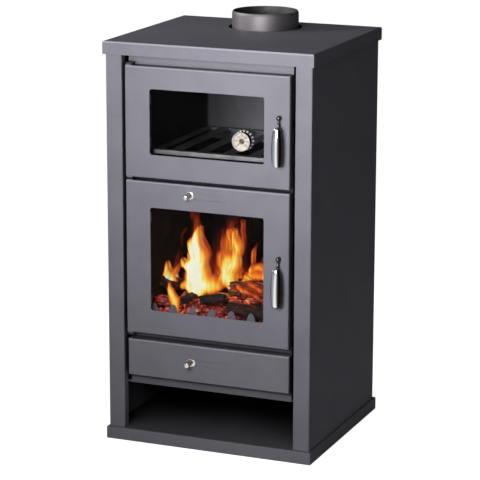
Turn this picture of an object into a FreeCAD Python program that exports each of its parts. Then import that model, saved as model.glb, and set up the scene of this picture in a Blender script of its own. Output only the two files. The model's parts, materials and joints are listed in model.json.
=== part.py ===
import FreeCAD, Part
import math
import os

# Free-standing steel wood stove with an oven above the firebox, an ash drawer below it and a wood
# niche at the bottom. Millimetres. +Z is up, the doors face -Y, and the origin lies on the floor
# at the middle of the stove's outer box.

V = FreeCAD.Vector
UP = V(0, 0, 1)
OUT = V(0, -1, 0)
ACROSS = V(1, 0, 0)

# Clearances
overrun = 2.0             # how far every cut runs past the piece it cuts
running_fit = 0.05        # radial play of a shaft in its bore
slide_fit = 0.3           # play between pieces that slide or rest on each other
seal_fit = 0.3            # play between a rope seal and the front plate
same_place = 0.01         # two places closer than this count as one

# Top and base plates: folded trays
plate_width = 480.0
plate_depth = 428.0
stove_height = 885.0
plate_skirt = 28.0
plate_sheet = 3.0
plate_bend = 3.5
casing_overhang = 5.0     # the plates stand past the casing by this much

# Casing: side panels folded into posts, back panel
casing_sheet = 1.5
casing_bend = 2.5
post_width = 37.0
post_return = 20.0
rear_flange = 20.0
top_flange = 16.0
vent_length = 70.0
vent_width = 7.0
vent_pitch = 36.0
vent_count = 8
vent_inset = 90.0         # from the panel's end to the middle of a row of vents

# Levels of the front, from the top down
header_height = 21.0      # front plate seen above the oven door
oven_door_height = 240.0
door_gap = 8.0            # between the two doors
door_side_gap = 10.0      # between a door and a post
drawer_gap = 17.0
drawer_height = 82.0
rail_height = 22.0        # front plate seen under the drawer
niche_height = 101.0

# Front plate and stove body
front_plate_setback = 22.0  # behind the door faces
front_plate_sheet = 4.0
front_plate_top_gap = 6.0
body_sheet = 4.0
shell_bend = 6.0
body_inset = 4.0          # shell's outer face from the front plate's side edge
body_back_gap = 10.0      # shell to back panel
body_top_rise = 4.0       # body top over the oven door's top edge
ceiling_sheet = 2.0
ceiling_flange = 18.0

# Flue collar
flue_radius = 74.0
flue_wall = 2.0
flue_rise = 36.0          # above the top plate
flue_back = 95.0          # axis from the plate's back edge
flue_hole_gap = 8.0
flue_neck = 2.0
flue_neck_height = 5.0

# Doors
door_sheet = 2.5
door_bend = 3.0
door_depth = 16.0
window_side_inset = 57.0  # window from the door's side edge
window_corner = 5.0
oven_window_sill = 51.0   # window above the door's lower edge
oven_window_head = 47.0   # window under the door's upper edge
fire_window_sill = 53.5
fire_window_head = 56.0

# Door glass and what holds it
gasket_sheet = 2.0
gasket_width = 8.0
gasket_gap = 1.0          # gasket from the window's edge
glass_sheet = 4.0
glass_lap = 10.0          # glass past the window on each side
clip_sheet = 1.5
clip_height = 22.0
clip_inset = 34.0         # clip centre from the glass's upper or lower edge
clip_reach = 9.0          # onto the glass

# Rope seal in its channel on the back of each door
rope_radius = 3.0
rope_sides = 8
channel_wall = 1.5
channel_grip = 3.4        # how much of the rope lies in the channel
seal_side_inset = 36.0    # rope centre from the door's side edge
seal_top_inset = 7.0
seal_bottom_inset = 18.0
mouth_land = 4.0          # front plate between the rope and the mouth's edge

# Hinges
hinge_inset = 8.0         # axis from the door's left edge
hinge_back = 7.5          # axis behind the door's face
pin_radius = 3.5
pin_engagement = 14.0
lug_sheet = 4.0
lug_gap = 2.0             # between a lug and the door's edge
lug_half = 7.0
lug_chamfer = 4.0
knuckle_half = 6.0
knuckle_length = 17.0

# Handles and latches
handle_inset = 22.5       # spindle from the door's right edge
oven_handle_rise = 32.5   # spindle above the middle of the door
fire_handle_rise = 28.5
spindle_radius = 5.0
bearing_half = 7.0
bearing_length = 5.0
arm_sheet = 5.0
arm_width = 5.0
button_radius = 4.8
button_length = 10.5
button_sides = 12
arm_start_out = 6.5       # start of the arm's centre line in front of the door
arm_out = 8.0             # the arm's straight run in front of the door
arm_drop = 17.0           # spindle to the start of the straight run
arm_foot_drop = 97.0      # spindle to the arm's lower end
arm_foot_bend = 5.0
grip_out = 15.0           # middle of the grip in front of the door
handle_reach = 25.0       # front of the grip in front of the door
grip_top_drop = 17.0
grip_length = 85.0
grip_width = 24.0
grip_depth = 20.0
grip_sides = 16
tongue_sheet = 4.0
tongue_width = 9.0
tongue_reach = 15.0
tongue_chamfer = 2.5
keeper_sheet = 2.0
keeper_height = 16.0
keeper_lap = 6.5          # lip over the tongue
keeper_play = 0.8

# Air slides in the fire door and the drawer front
slot_height = 14.0
rail_end_gap = 12.5       # slide's rails to the seal channel
slot_drop = 23.0          # slot centre under the fire door's top edge
drawer_slot_drop = 39.0   # slot centre under the drawer front's top edge
slide_sheet = 2.0
slide_lap = 2.0           # slide past the slot, above and below
slide_end_lap = 5.0       # slide past the slot's ends
air_hole_share = 0.57     # width of a slide's air hole against their pitch
air_hole_height = 10.0
air_hole_count = 5
air_hole_from_knob = 15.0 # knob to the middle of the nearest air hole
rail_leg = 2.0
rail_lip = 3.0
rail_sheet = 1.2
knob_radius = 11.5
knob_disc = 2.4
knob_sides = 24
knob_pin_radius = 6.0
knob_reach = 22.0
knob_neck_radius = 5.0

# Thermometer through the oven glass
thermometer_inset = 45.0  # from the window's right edge
thermometer_rise = 48.0   # above the window's sill
thermo_radius = 20.0
thermo_wall = 1.4
thermo_depth = 10.0
thermo_out = 18.0         # rim in front of the door's face
thermo_stem_radius = 4.0
thermo_stem_length = 24.0 # behind the glass
thermo_hole_play = 0.4
thermo_nut_radius = 8.0
thermo_nut_height = 4.0
nut_sides = 6
fin_radius = 22.0
fin_root = 15.5
fin_sheet = 6.0
fin_count = 16
fin_root_share = 0.56     # a tooth's root against the pitch of the teeth
fin_tip_share = 0.34
disc_sides = 32
lens_sheet = 1.2
lens_setback = 0.8
dial_sheet = 0.8
dial_setback = 5.2
arbor_radius = 0.8
arbor_behind = 1.0        # the arbor's end behind the dial
needle_sheet = 0.6
needle_length = 13.5
needle_tail = 5.0
needle_width = 2.4
needle_tip_share = 0.4    # a pointer's tip against its tail's width
needle_lift = 1.2         # needle above the dial
needle_rest_angle = 135.0 # a cold oven: the pointer at the dial's lower left

# Oven
oven_side_gap = 43.0      # oven cavity to the body's side wall
oven_back_gap = 74.0      # oven cavity to the body's back wall
oven_floor_rise = 29.0    # cavity floor above the oven door's lower edge
oven_roof_drop = 22.0     # cavity roof under the oven door's upper edge
oven_sheet = 3.0
rack_rise = 28.0          # rack above the cavity floor
rack_sheet = 2.0
rack_lip = 9.0
rack_side_play = 1.0
rack_end_play = 6.0
rack_slot_end = 17.0      # rack's side to the middle of its first slot
rack_slot_share = 0.58    # width of a slot against their pitch
rack_slot_count = 5
rack_slot_margin = 16.0
ledge_size = 12.0
ledge_sheet = 2.0

# Firebox
floor_rise = 5.0          # firebox floor above the fire door's lower edge
brick_sheet = 30.0
brick_top_drop = 26.0     # bricks' top under the fire door's upper edge
brick_joint = 1.0
brick_front_gap = 8.0
side_brick_count = 3
back_brick_count = 3
floor_brick_sheet = 25.0
brick_chamfer = 2.0
grate_side_gap = 51.0     # grate to the side bricks
grate_length = 232.0
grate_height = 16.0
grate_seat = 10.0         # grate past the floor's opening
grate_rim = 14.0
grate_corner = 4.0
grate_bar = 9.0
grate_slot = 9.0
grate_rib = 12.0
baffle_sheet = 4.0
baffle_front_gap = 75.0
baffle_lip = 14.0
guard_sheet = 3.0
guard_setback = 2.0       # behind the front plate
guard_rise = 43.0         # tooth roots above the fire door's lower edge
guard_tooth_height = 20.0
guard_tooth_base = 23.0
guard_tooth_top = 12.0
guard_end = 12.0          # guard's end to the middle of its first tooth
guard_tooth_count = 7
guard_tip = 4.0           # rounding of a tooth's tip
guard_foot = 20.0

# Ash drawer and its runners
drawer_setback = 5.0      # drawer front behind the door faces
drawer_depth = 14.0
pan_side_gap = 41.0       # pan to the body's side wall
pan_back_gap = 78.5       # pan to the body's back wall
pan_sheet = 1.5
pan_bottom_rise = 7.0     # above the drawer front's lower edge
pan_height = 60.0
pan_corner = 6.0
pan_front_play = 0.5
pan_air_width = 7.0
pan_air_height = 18.0
pan_air_drop = 4.0        # air slots under the pan's rim
pan_air_pitch = 16.0
ash_mouth_play = 3.0
runner_sheet = 2.0
runner_shelf = 12.0
runner_guide = 10.0
runner_foot = 15.0
runner_side_play = 1.0
runner_past_pan = 8.5

# Places across: half widths from the middle
casing_half = plate_width / 2 - casing_overhang
post_inner = casing_half - post_width
door_half = post_inner - door_side_gap
window_half = door_half - window_side_inset
glass_half = window_half + glass_lap
seal_half = door_half - seal_side_inset
fire_mouth_half = seal_half - rope_radius - mouth_land
body_outer = door_half - body_inset
body_inner = body_outer - body_sheet
oven_half = body_inner - oven_side_gap
pan_half = body_inner - pan_side_gap
ash_mouth_half = pan_half + ash_mouth_play
hinge_x = -door_half + hinge_inset
handle_x = door_half - handle_inset
channel_inner = seal_half - rope_radius - channel_wall
slot_half = (channel_inner - rail_end_gap - slide_end_lap + slot_height) / 3
slide_travel = 2 * slot_half - slot_height
knob_x = -slide_travel / 2
thermometer_x = window_half - thermometer_inset
brick_inner = body_inner - brick_sheet
grate_half = brick_inner - grate_side_gap

# Places front to back
front_edge_y = (handle_reach - plate_depth) / 2
back_edge_y = front_edge_y + plate_depth
post_face_y = front_edge_y + casing_overhang
casing_back_y = back_edge_y - casing_overhang
casing_flange_y = casing_back_y - casing_sheet
door_face_y = front_edge_y
door_inner_y = door_face_y + door_sheet
door_back_y = door_face_y + door_depth
glass_front_y = door_inner_y + gasket_sheet
glass_back_y = glass_front_y + glass_sheet
front_plate_y = door_face_y + front_plate_setback
front_plate_back_y = front_plate_y + front_plate_sheet
rope_y = front_plate_y - seal_fit - rope_radius
channel_web_y = rope_y - rope_radius
channel_end_y = channel_web_y + channel_grip
hinge_y = door_face_y + hinge_back
shell_back_y = casing_flange_y - casing_sheet - body_back_gap
body_back_y = shell_back_y - body_sheet
flue_y = back_edge_y - flue_back
oven_back_y = body_back_y - oven_back_gap
drawer_face_y = door_face_y + drawer_setback
drawer_back_y = drawer_face_y + drawer_depth
pan_back_y = body_back_y - pan_back_gap
bearing_end_y = door_inner_y + bearing_length
tongue_y = bearing_end_y + slide_fit
tongue_back_y = tongue_y + tongue_sheet
thermo_rim_y = door_face_y - thermo_out
thermo_dial_y = thermo_rim_y + dial_setback

# Levels
base_top_z = plate_skirt
plate_under_z = stove_height - plate_sheet
header_top_z = stove_height - plate_skirt
niche_top_z = base_top_z + niche_height
ceiling_top_z = niche_top_z + ceiling_sheet
drawer_bottom_z = niche_top_z + rail_height
drawer_top_z = drawer_bottom_z + drawer_height
fire_door_bottom_z = drawer_top_z + drawer_gap
oven_door_top_z = header_top_z - header_height
oven_door_bottom_z = oven_door_top_z - oven_door_height
fire_door_top_z = oven_door_bottom_z - door_gap
body_top_z = oven_door_top_z + body_top_rise
body_roof_z = body_top_z + body_sheet
front_plate_top_z = plate_under_z - front_plate_top_gap
oven_floor_z = oven_door_bottom_z + oven_floor_rise
oven_roof_z = oven_door_top_z - oven_roof_drop
rack_top_z = oven_floor_z + rack_rise
rack_under_z = rack_top_z - rack_sheet
floor_z = fire_door_bottom_z + floor_rise
floor_top_z = floor_z + body_sheet
brick_top_z = fire_door_top_z - brick_top_drop
fire_mouth_bottom_z = fire_door_bottom_z + seal_bottom_inset + rope_radius + mouth_land
fire_mouth_top_z = fire_door_top_z - seal_top_inset - rope_radius - mouth_land
pan_bottom_z = drawer_bottom_z + pan_bottom_rise
pan_top_z = pan_bottom_z + pan_height
fire_slot_z = fire_door_top_z - slot_drop
drawer_slot_z = drawer_top_z - drawer_slot_drop
oven_handle_z = (oven_door_bottom_z + oven_door_top_z) / 2 + oven_handle_rise
fire_handle_z = (fire_door_bottom_z + fire_door_top_z) / 2 + fire_handle_rise
thermometer_z = oven_door_bottom_z + oven_window_sill + thermometer_rise

# The two doors, by their levels
OVEN_DOOR = {
    "bottom": oven_door_bottom_z,
    "top": oven_door_top_z,
    "sill": oven_door_bottom_z + oven_window_sill,
    "head": oven_door_top_z - oven_window_head,
    "handle": oven_handle_z,
}
FIRE_DOOR = {
    "bottom": fire_door_bottom_z,
    "top": fire_door_top_z,
    "sill": fire_door_bottom_z + fire_window_sill,
    "head": fire_door_top_z - fire_window_head,
    "handle": fire_handle_z,
}


# Shape helpers

def box(x0, x1, y0, y1, z0, z1):
    return Part.makeBox(x1 - x0, y1 - y0, z1 - z0, V(x0, y0, z0))


def direction(edge):
    a, b = edge.Vertexes[0].Point, edge.Vertexes[-1].Point
    return (b - a).normalize() if (b - a).Length else V(0, 0, 0)


def runs_along(edge, axis):
    return abs(direction(edge).dot(axis)) > math.cos(math.radians(1))


def lies_at(edge, axis, place):
    return all(abs(v.Point.dot(axis) - place) < same_place for v in edge.Vertexes)


def frame(half, z0, z1, y0, y1, inner, outer):
    """A rectangular ring around a path, from inner to outer beside the path."""
    ring = box(-half - outer, half + outer, y0, y1, z0 - outer, z1 + outer)
    hole = box(-half - inner, half + inner, y0 - overrun, y1 + overrun, z0 - inner, z1 + inner)
    return ring.cut(hole)


def folded_panel(half, y0, y1, z0, z1, sheet, bend):
    """A panel facing -Y with all four edges folded back."""
    outer = box(-half, half, y0, y1, z0, z1)
    outer = outer.makeFillet(bend, [e for e in outer.Edges if lies_at(e, OUT, -y0)])
    return outer.cut(box(-half + sheet, half - sheet, y0 + sheet, y1 + overrun, z0 + sheet, z1 - sheet))


def prism(points, axis_vector):
    """A flat outline pushed along a vector."""
    return Part.Face(Part.makePolygon(points + points[:1])).extrude(axis_vector)


def turned(profile, centre, axis):
    """A profile of (radius, distance along the axis) turned about the axis."""
    side = ACROSS
    points = [centre + side * r + axis * t for r, t in profile]
    return Part.Face(Part.makePolygon(points + points[:1])).revolve(centre, axis, 360)


def many_sided(sides, radius, start, length):
    """A bar with flat sides that runs from start towards -Y: radius is to its corners."""
    step = 2 * math.pi / sides
    angles = [i * step for i in range(sides)]
    points = [start + V(radius * math.cos(a), 0, radius * math.sin(a)) for a in angles]
    return prism(points, OUT * length)


def cylinder(radius, start, axis, length):
    return Part.makeCylinder(radius, length, start, axis)


def fuse_all(shapes):
    return shapes[0].multiFuse(shapes[1:]).removeSplitter() if len(shapes) > 1 else shapes[0]


def group(shapes):
    return Part.makeCompound(shapes)


def mirrored(shape):
    return shape.mirror(V(0, 0, 0), ACROSS)


def spread(count, pitch):
    """Places of evenly spaced copies about zero."""
    return [(i - (count - 1) / 2) * pitch for i in range(count)]


def strip_along(points, sheet):
    """A strip that follows a bent line in the plane of the arm, with mitred bends."""
    sides = []
    for a, b in zip(points, points[1:]):
        run = (b - a).normalize()
        sides.append(run.cross(ACROSS))
    sides = [sides[0]] + sides + [sides[-1]]
    near_side, far_side = [], []
    for point, before, after in zip(points, sides, sides[1:]):
        out = (before + after) * (sheet / 2 / (1 + before.dot(after)))
        near_side.append(point - out - ACROSS * (arm_width / 2))
        far_side.append(point + out - ACROSS * (arm_width / 2))
    return prism(near_side + far_side[::-1], ACROSS * arm_width)


# Casing

def plate_tray(z0, z1, face_z):
    """A plate with its edges folded over: face_z is the side that stays closed."""
    outer = box(-plate_width / 2, plate_width / 2, front_edge_y, back_edge_y, z0, z1)
    outer = outer.makeFillet(plate_bend, [e for e in outer.Edges if lies_at(e, UP, face_z)])
    inner = box(
        -plate_width / 2 + plate_sheet,
        plate_width / 2 - plate_sheet,
        front_edge_y + plate_sheet,
        back_edge_y - plate_sheet,
        z0 - overrun,
        face_z - plate_sheet,
    )
    return outer.cut(inner)


def top_plate():
    hole = cylinder(flue_radius + flue_hole_gap, V(0, flue_y, header_top_z), UP, plate_skirt + overrun)
    return plate_tray(header_top_z, stove_height, stove_height).cut(hole)


def base_plate():
    return plate_tray(0, base_top_z, base_top_z)


def side_panel():
    """The right panel: wall, front post with its return, rear flange and top flange."""
    inner = casing_half - casing_sheet
    z0, z1 = base_top_z, plate_under_z
    outer = box(post_inner, casing_half, post_face_y, casing_flange_y, z0, z1)
    corners = [
        e
        for e in outer.Edges
        if runs_along(e, UP)
        and (lies_at(e, ACROSS, casing_half) or lies_at(e, OUT, -post_face_y))
    ]
    outer = outer.makeFillet(casing_bend, corners)
    post_end_y = post_face_y + post_return
    flange_x = casing_half - rear_flange
    hollow = box(
        post_inner + casing_sheet,
        inner,
        post_face_y + casing_sheet,
        casing_flange_y - casing_sheet,
        z0 - overrun,
        z1 - casing_sheet,
    )
    mouth = box(
        post_inner - overrun, flange_x, post_end_y, casing_flange_y + overrun, z0 - overrun, z1 + overrun
    )
    under_roof = box(
        post_inner - overrun,
        casing_half - top_flange,
        post_face_y + casing_sheet,
        casing_flange_y - casing_sheet,
        z1 - casing_sheet - overrun,
        z1 + overrun,
    )
    slit = box(
        flange_x - overrun,
        inner,
        post_end_y,
        casing_flange_y - casing_sheet,
        z0 - overrun,
        z1 - casing_sheet,
    )
    return outer.cut(hollow).cut(mouth).cut(under_roof).cut(slit)


def back_panel():
    half = casing_half - casing_sheet
    panel = box(-half, half, casing_flange_y, casing_back_y, base_top_z, plate_under_z)
    rows = (base_top_z + vent_inset, plate_under_z - vent_inset)
    cuts = []
    for z in rows:
        for x in spread(vent_count, vent_pitch):
            cuts.append(
                box(
                    x - vent_width / 2,
                    x + vent_width / 2,
                    casing_flange_y - overrun,
                    casing_back_y + overrun,
                    z - vent_length / 2,
                    z + vent_length / 2,
                )
            )
    return panel.cut(cuts)


def side_panel_right():
    return side_panel()


def side_panel_left():
    return mirrored(side_panel())


# Stove body

def niche_ceiling():
    """Plate between the side panels, with its side edges folded up. It carries the body."""
    half = casing_half - casing_sheet
    y0, y1 = front_plate_back_y, casing_flange_y - casing_sheet
    plate = box(-half, half, y0, y1, niche_top_z, ceiling_top_z)
    x0 = half - ceiling_sheet
    right = box(x0, half, y0, y1, ceiling_top_z, ceiling_top_z + ceiling_flange)
    return fuse_all([plate, right, mirrored(right)])


def lug_levels():
    return (
        oven_door_top_z + lug_gap,
        fire_door_top_z + (door_gap - lug_sheet) / 2,
        fire_door_bottom_z - lug_gap - lug_sheet,
    )


def hinge_lug(z):
    """An ear on the front plate with the hole that the hinge pin is pressed into."""
    x0, x1 = hinge_x - lug_half, hinge_x + lug_half
    y0 = hinge_y - lug_half
    outline = [
        V(x0, front_plate_y, z),
        V(x0, y0 + lug_chamfer, z),
        V(x0 + lug_chamfer, y0, z),
        V(x1 - lug_chamfer, y0, z),
        V(x1, y0 + lug_chamfer, z),
        V(x1, front_plate_y, z),
    ]
    hole = cylinder(pin_radius, V(hinge_x, hinge_y, z - overrun), UP, lug_sheet + 2 * overrun)
    return prism(outline, UP * lug_sheet).cut(hole)


def front_plate():
    """Plate with the mouths of oven, firebox and ash drawer, and three hinge lugs."""
    plate = box(-door_half, door_half, front_plate_y, front_plate_back_y, niche_top_z, front_plate_top_z)
    y0, y1 = front_plate_y - overrun, front_plate_back_y + overrun
    ash_bottom, ash_top = pan_bottom_z - ash_mouth_play, pan_top_z + ash_mouth_play
    mouths = [
        box(-oven_half, oven_half, y0, y1, oven_floor_z, oven_roof_z),
        box(-fire_mouth_half, fire_mouth_half, y0, y1, fire_mouth_bottom_z, fire_mouth_top_z),
        box(-ash_mouth_half, ash_mouth_half, y0, y1, ash_bottom, ash_top),
    ]
    return fuse_all([plate.cut(mouths)] + [hinge_lug(z) for z in lug_levels()])


def hinge_pins():
    top, middle, bottom = lug_levels()
    spans = [
        (oven_door_top_z - pin_engagement, top + lug_sheet),
        (fire_door_top_z - pin_engagement, oven_door_bottom_z + pin_engagement),
        (bottom, fire_door_bottom_z + pin_engagement),
    ]
    return group([cylinder(pin_radius, V(hinge_x, hinge_y, a), UP, b - a) for a, b in spans])


def firebox_shell():
    """Left, right and back wall of the body in one folded sheet."""
    outer = box(-body_outer, body_outer, front_plate_back_y, shell_back_y, ceiling_top_z, body_top_z)
    corners = [e for e in outer.Edges if runs_along(e, UP) and lies_at(e, OUT, -shell_back_y)]
    outer = outer.makeFillet(shell_bend, corners)
    inner = box(
        -body_inner,
        body_inner,
        front_plate_back_y - overrun,
        body_back_y,
        ceiling_top_z - overrun,
        body_top_z + overrun,
    )
    return outer.cut(inner)


def body_top():
    plate = box(-body_outer, body_outer, front_plate_back_y, shell_back_y, body_top_z, body_roof_z)
    radius = flue_radius - flue_wall - flue_neck
    return plate.cut(cylinder(radius, V(0, flue_y, body_top_z - overrun), UP, body_sheet + 2 * overrun))


def flue_collar():
    top = stove_height + flue_rise - body_roof_z
    shoulder = top - flue_neck_height
    inner = flue_radius - flue_wall - flue_neck
    profile = [
        (flue_radius, 0),
        (flue_radius, shoulder),
        (flue_radius - flue_neck, top),
        (inner, top),
        (inner, 0),
    ]
    return turned(profile, V(0, flue_y, body_roof_z), UP)


def oven_box():
    """Five walls behind the oven mouth."""
    s = oven_sheet
    y0 = front_plate_back_y
    outer = box(-oven_half - s, oven_half + s, y0, oven_back_y + s, oven_floor_z - s, oven_roof_z + s)
    inner = box(-oven_half, oven_half, y0 - overrun, oven_back_y, oven_floor_z, oven_roof_z)
    return outer.cut(inner)


def oven_rack():
    """Slotted shelf with its front and rear edges folded down."""
    half = oven_half - rack_side_play
    y0, y1 = front_plate_back_y + rack_end_play, oven_back_y - rack_end_play
    low = rack_top_z - rack_lip
    plate = box(-half, half, y0, y1, rack_under_z, rack_top_z)
    front = box(-half, half, y0, y0 + rack_sheet, low, rack_under_z)
    rear = box(-half, half, y1 - rack_sheet, y1, low, rack_under_z)
    slots = []
    pitch = 2 * (half - rack_slot_end) / (rack_slot_count - 1)
    for x in spread(rack_slot_count, pitch):
        x0, x1 = x - pitch * rack_slot_share / 2, x + pitch * rack_slot_share / 2
        x0, x1 = max(x0, -half + rack_slot_margin), min(x1, half - rack_slot_margin)
        z0, z1 = rack_under_z - overrun, rack_top_z + overrun
        slot = box(x0, x1, y0 + rack_slot_margin, y1 - rack_slot_margin, z0, z1)
        slots.append(slot)
    return fuse_all([plate, front, rear]).cut(slots)


def rack_ledges():
    """Two angles on the oven's side walls, under the rack."""
    y0 = front_plate_back_y + rack_end_play + rack_sheet + slide_fit
    y1 = oven_back_y - rack_end_play - rack_sheet - slide_fit
    x1, z1 = oven_half, rack_under_z
    s = ledge_sheet
    outline = [
        V(x1, y0, z1),
        V(x1 - ledge_size, y0, z1),
        V(x1 - ledge_size, y0, z1 - s),
        V(x1 - s, y0, z1 - s),
        V(x1 - s, y0, z1 - ledge_size),
        V(x1, y0, z1 - ledge_size),
    ]
    right = prism(outline, V(0, y1 - y0, 0))
    return group([right, mirrored(right)])


# Firebox lining

def firebox_floor():
    plate = box(-body_inner, body_inner, front_plate_back_y, body_back_y, floor_z, floor_top_z)
    half = grate_half - grate_seat
    y0, y1 = grate_start_y() + grate_seat, grate_start_y() + grate_length - grate_seat
    return plate.cut(box(-half, half, y0, y1, floor_z - overrun, floor_top_z + overrun))


def grate_start_y():
    middle = (front_plate_back_y + body_back_y - brick_sheet) / 2
    return middle - grate_length / 2


def fire_grate():
    """Cast grate: a rim, bars front to back, and a rib across the middle."""
    y0 = grate_start_y()
    y1 = y0 + grate_length
    half = grate_half
    body = box(-half, half, y0, y1, floor_top_z, floor_top_z + grate_height)
    body = body.makeChamfer(grate_corner, [e for e in body.Edges if runs_along(e, UP)])
    pitch = grate_bar + grate_slot
    count = int((2 * half - 2 * grate_rim + grate_bar) / pitch)
    middle = (y0 + y1) / 2
    slots = []
    for x in spread(count, pitch):
        for a, b in ((y0 + grate_rim, middle - grate_rib / 2), (middle + grate_rib / 2, y1 - grate_rim)):
            z0, z1 = floor_top_z - overrun, floor_top_z + grate_height + overrun
            slots.append(box(x - grate_slot / 2, x + grate_slot / 2, a, b, z0, z1))
    return body.cut(slots)


def brick(x0, x1, y0, y1, z0, z1, room_side):
    """A brick with the edges of its face towards the fire chamfered."""
    block = box(x0, x1, y0, y1, z0, z1)
    axis, place = room_side
    edges = [e for e in block.Edges if lies_at(e, axis, place)]
    return block.makeChamfer(brick_chamfer, edges)


def row_of(count, start, end):
    """Starts and ends of bricks laid in a row with joints between them."""
    step = (end - start + brick_joint) / count
    return [(start + i * step, start + (i + 1) * step - brick_joint) for i in range(count)]


def side_bricks():
    y0, y1 = front_plate_back_y + brick_front_gap, body_back_y
    right = [
        brick(brick_inner, body_inner, a, b, floor_top_z, brick_top_z, (ACROSS, brick_inner))
        for a, b in row_of(side_brick_count, y0, y1)
    ]
    return group(right + [mirrored(b) for b in right])


def back_bricks():
    half = brick_inner - brick_joint
    y0 = body_back_y - brick_sheet
    return group([
        brick(a, b, y0, body_back_y, floor_top_z, brick_top_z, (OUT, -y0))
        for a, b in row_of(back_brick_count, -half, half)
    ])


def floor_bricks():
    """Four bricks on the firebox floor around the grate."""
    top = floor_top_z + floor_brick_sheet
    half = brick_inner - brick_joint
    g = grate_half + brick_joint
    y0 = front_plate_back_y + guard_setback + guard_foot + brick_joint
    y1 = body_back_y - brick_sheet - brick_joint
    a, b = grate_start_y() - brick_joint, grate_start_y() + grate_length + brick_joint
    spans = [(-half, -g, y0, y1), (g, half, y0, y1)]
    spans += [(-g + brick_joint, g - brick_joint, y0, a), (-g + brick_joint, g - brick_joint, b, y1)]
    return group([brick(x0, x1, c, d, floor_top_z, top, (UP, top)) for x0, x1, c, d in spans])


def baffle_plate():
    """Plate on top of the side bricks that turns the flames to the front, with a lip down."""
    half = body_inner - brick_joint
    y0 = front_plate_back_y + baffle_front_gap
    plate = box(-half, half, y0, body_back_y, brick_top_z, brick_top_z + baffle_sheet)
    inner = brick_inner - brick_joint
    lip = box(-inner, inner, y0, y0 + baffle_sheet, brick_top_z - baffle_lip, brick_top_z)
    return fuse_all([plate, lip])


def log_guard():
    """Upright plate with a toothed upper edge and a foot, just inside the fire mouth."""
    half = brick_inner - brick_joint
    root = fire_door_bottom_z + guard_rise
    tip = root + guard_tooth_height
    y0 = front_plate_back_y + guard_setback
    outline = [V(-half, y0, floor_top_z), V(-half, y0, root)]
    for x in spread(guard_tooth_count, 2 * (half - guard_end) / (guard_tooth_count - 1)):
        half_tooth = [
            (guard_tooth_base / 2, root),
            (guard_tooth_top / 2, tip - guard_tip),
            (guard_tooth_top / 2 - guard_tip, tip),
        ]
        outline += [V(x - w, y0, z) for w, z in half_tooth]
        outline += [V(x + w, y0, z) for w, z in reversed(half_tooth)]
    outline += [V(half, y0, root), V(half, y0, floor_top_z)]
    plate = prism(outline, V(0, guard_sheet, 0))
    foot = box(-half, half, y0 + guard_sheet, y0 + guard_foot, floor_top_z, floor_top_z + guard_sheet)
    return fuse_all([plate, foot])


# Drawer runners and latch keepers

def drawer_runners():
    """Two folded strips on the niche ceiling: foot, web that guides the pan, and shelf under it."""
    s = runner_sheet
    y0, y1 = front_plate_back_y + slide_fit, pan_back_y + runner_past_pan
    x = pan_half + runner_side_play
    shelf = pan_bottom_z - slide_fit
    web = box(x, x + s, y0, y1, ceiling_top_z, pan_bottom_z + runner_guide)
    foot = box(x, x + runner_foot, y0, y1, ceiling_top_z, ceiling_top_z + s)
    ledge = box(x - runner_shelf, x, y0, y1, shelf - s, shelf)
    right = fuse_all([web, foot, ledge])
    return group([right, mirrored(right)])


def keeper(z):
    """A bracket on the front plate whose lip holds the latch tongue."""
    x1 = handle_x + tongue_reach + keeper_play + keeper_sheet
    x0 = x1 - keeper_sheet - keeper_lap
    lip_y = tongue_y - keeper_play - keeper_sheet
    z0, z1 = z - keeper_height / 2, z + keeper_height / 2
    leg = box(x1 - keeper_sheet, x1, lip_y, front_plate_y, z0, z1)
    lip = box(x0, x1 - keeper_sheet, lip_y, lip_y + keeper_sheet, z0, z1)
    return fuse_all([leg, lip])


def latch_keepers():
    return group([keeper(oven_handle_z), keeper(fire_handle_z)])


# Doors

def knuckle_spans(door):
    """Lower and upper end of the two hinge blocks: each stands on or hangs below a lug."""
    stand = lug_gap - slide_fit
    bottom, top = door["bottom"], door["top"]
    return [(bottom - stand, bottom + knuckle_length), (top - knuckle_length, top + stand)]


def door_panel(door):
    """Folded door panel with window, two bored hinge blocks and the spindle's bearing."""
    z0, z1 = door["bottom"], door["top"]
    panel = folded_panel(door_half, door_face_y, door_back_y, z0, z1, door_sheet, door_bend)
    y0, y1 = door_face_y - overrun, door_inner_y + overrun
    window = box(-window_half, window_half, y0, y1, door["sill"], door["head"])
    window = window.makeFillet(window_corner, [e for e in window.Edges if runs_along(e, OUT)])
    x, z = handle_x, door["handle"]
    b = bearing_half
    pieces = [panel.cut(window), box(x - b, x + b, door_inner_y, bearing_end_y, z - b, z + b)]
    length = bearing_end_y - door_face_y + 2 * overrun
    bores = [cylinder(spindle_radius + running_fit, V(x, bearing_end_y + overrun, z), OUT, length)]
    k = knuckle_half
    for low, high in knuckle_spans(door):
        pieces.append(box(hinge_x - k, hinge_x + k, hinge_y - k, hinge_y + k, low, high))
        start = V(hinge_x, hinge_y, low - overrun)
        bores.append(cylinder(pin_radius + running_fit, start, UP, high - low + 2 * overrun))
    return fuse_all(pieces).cut(bores)


def slot_cuts(face_y, z):
    """A slot with round ends for the air knob's neck."""
    y0, y1 = face_y - overrun, face_y + door_sheet + overrun
    r = slot_height / 2
    end = slot_half - r
    tools = [box(-end, end, y0, y1, z - r, z + r)]
    return tools + [cylinder(r, V(x, y1, z), OUT, y1 - y0) for x in (-end, end)]


def oven_door_panel():
    return door_panel(OVEN_DOOR)


def fire_door_panel():
    return door_panel(FIRE_DOOR).cut(slot_cuts(door_face_y, fire_slot_z))


def seal_levels(door):
    return door["bottom"] + seal_bottom_inset, door["top"] - seal_top_inset


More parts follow.
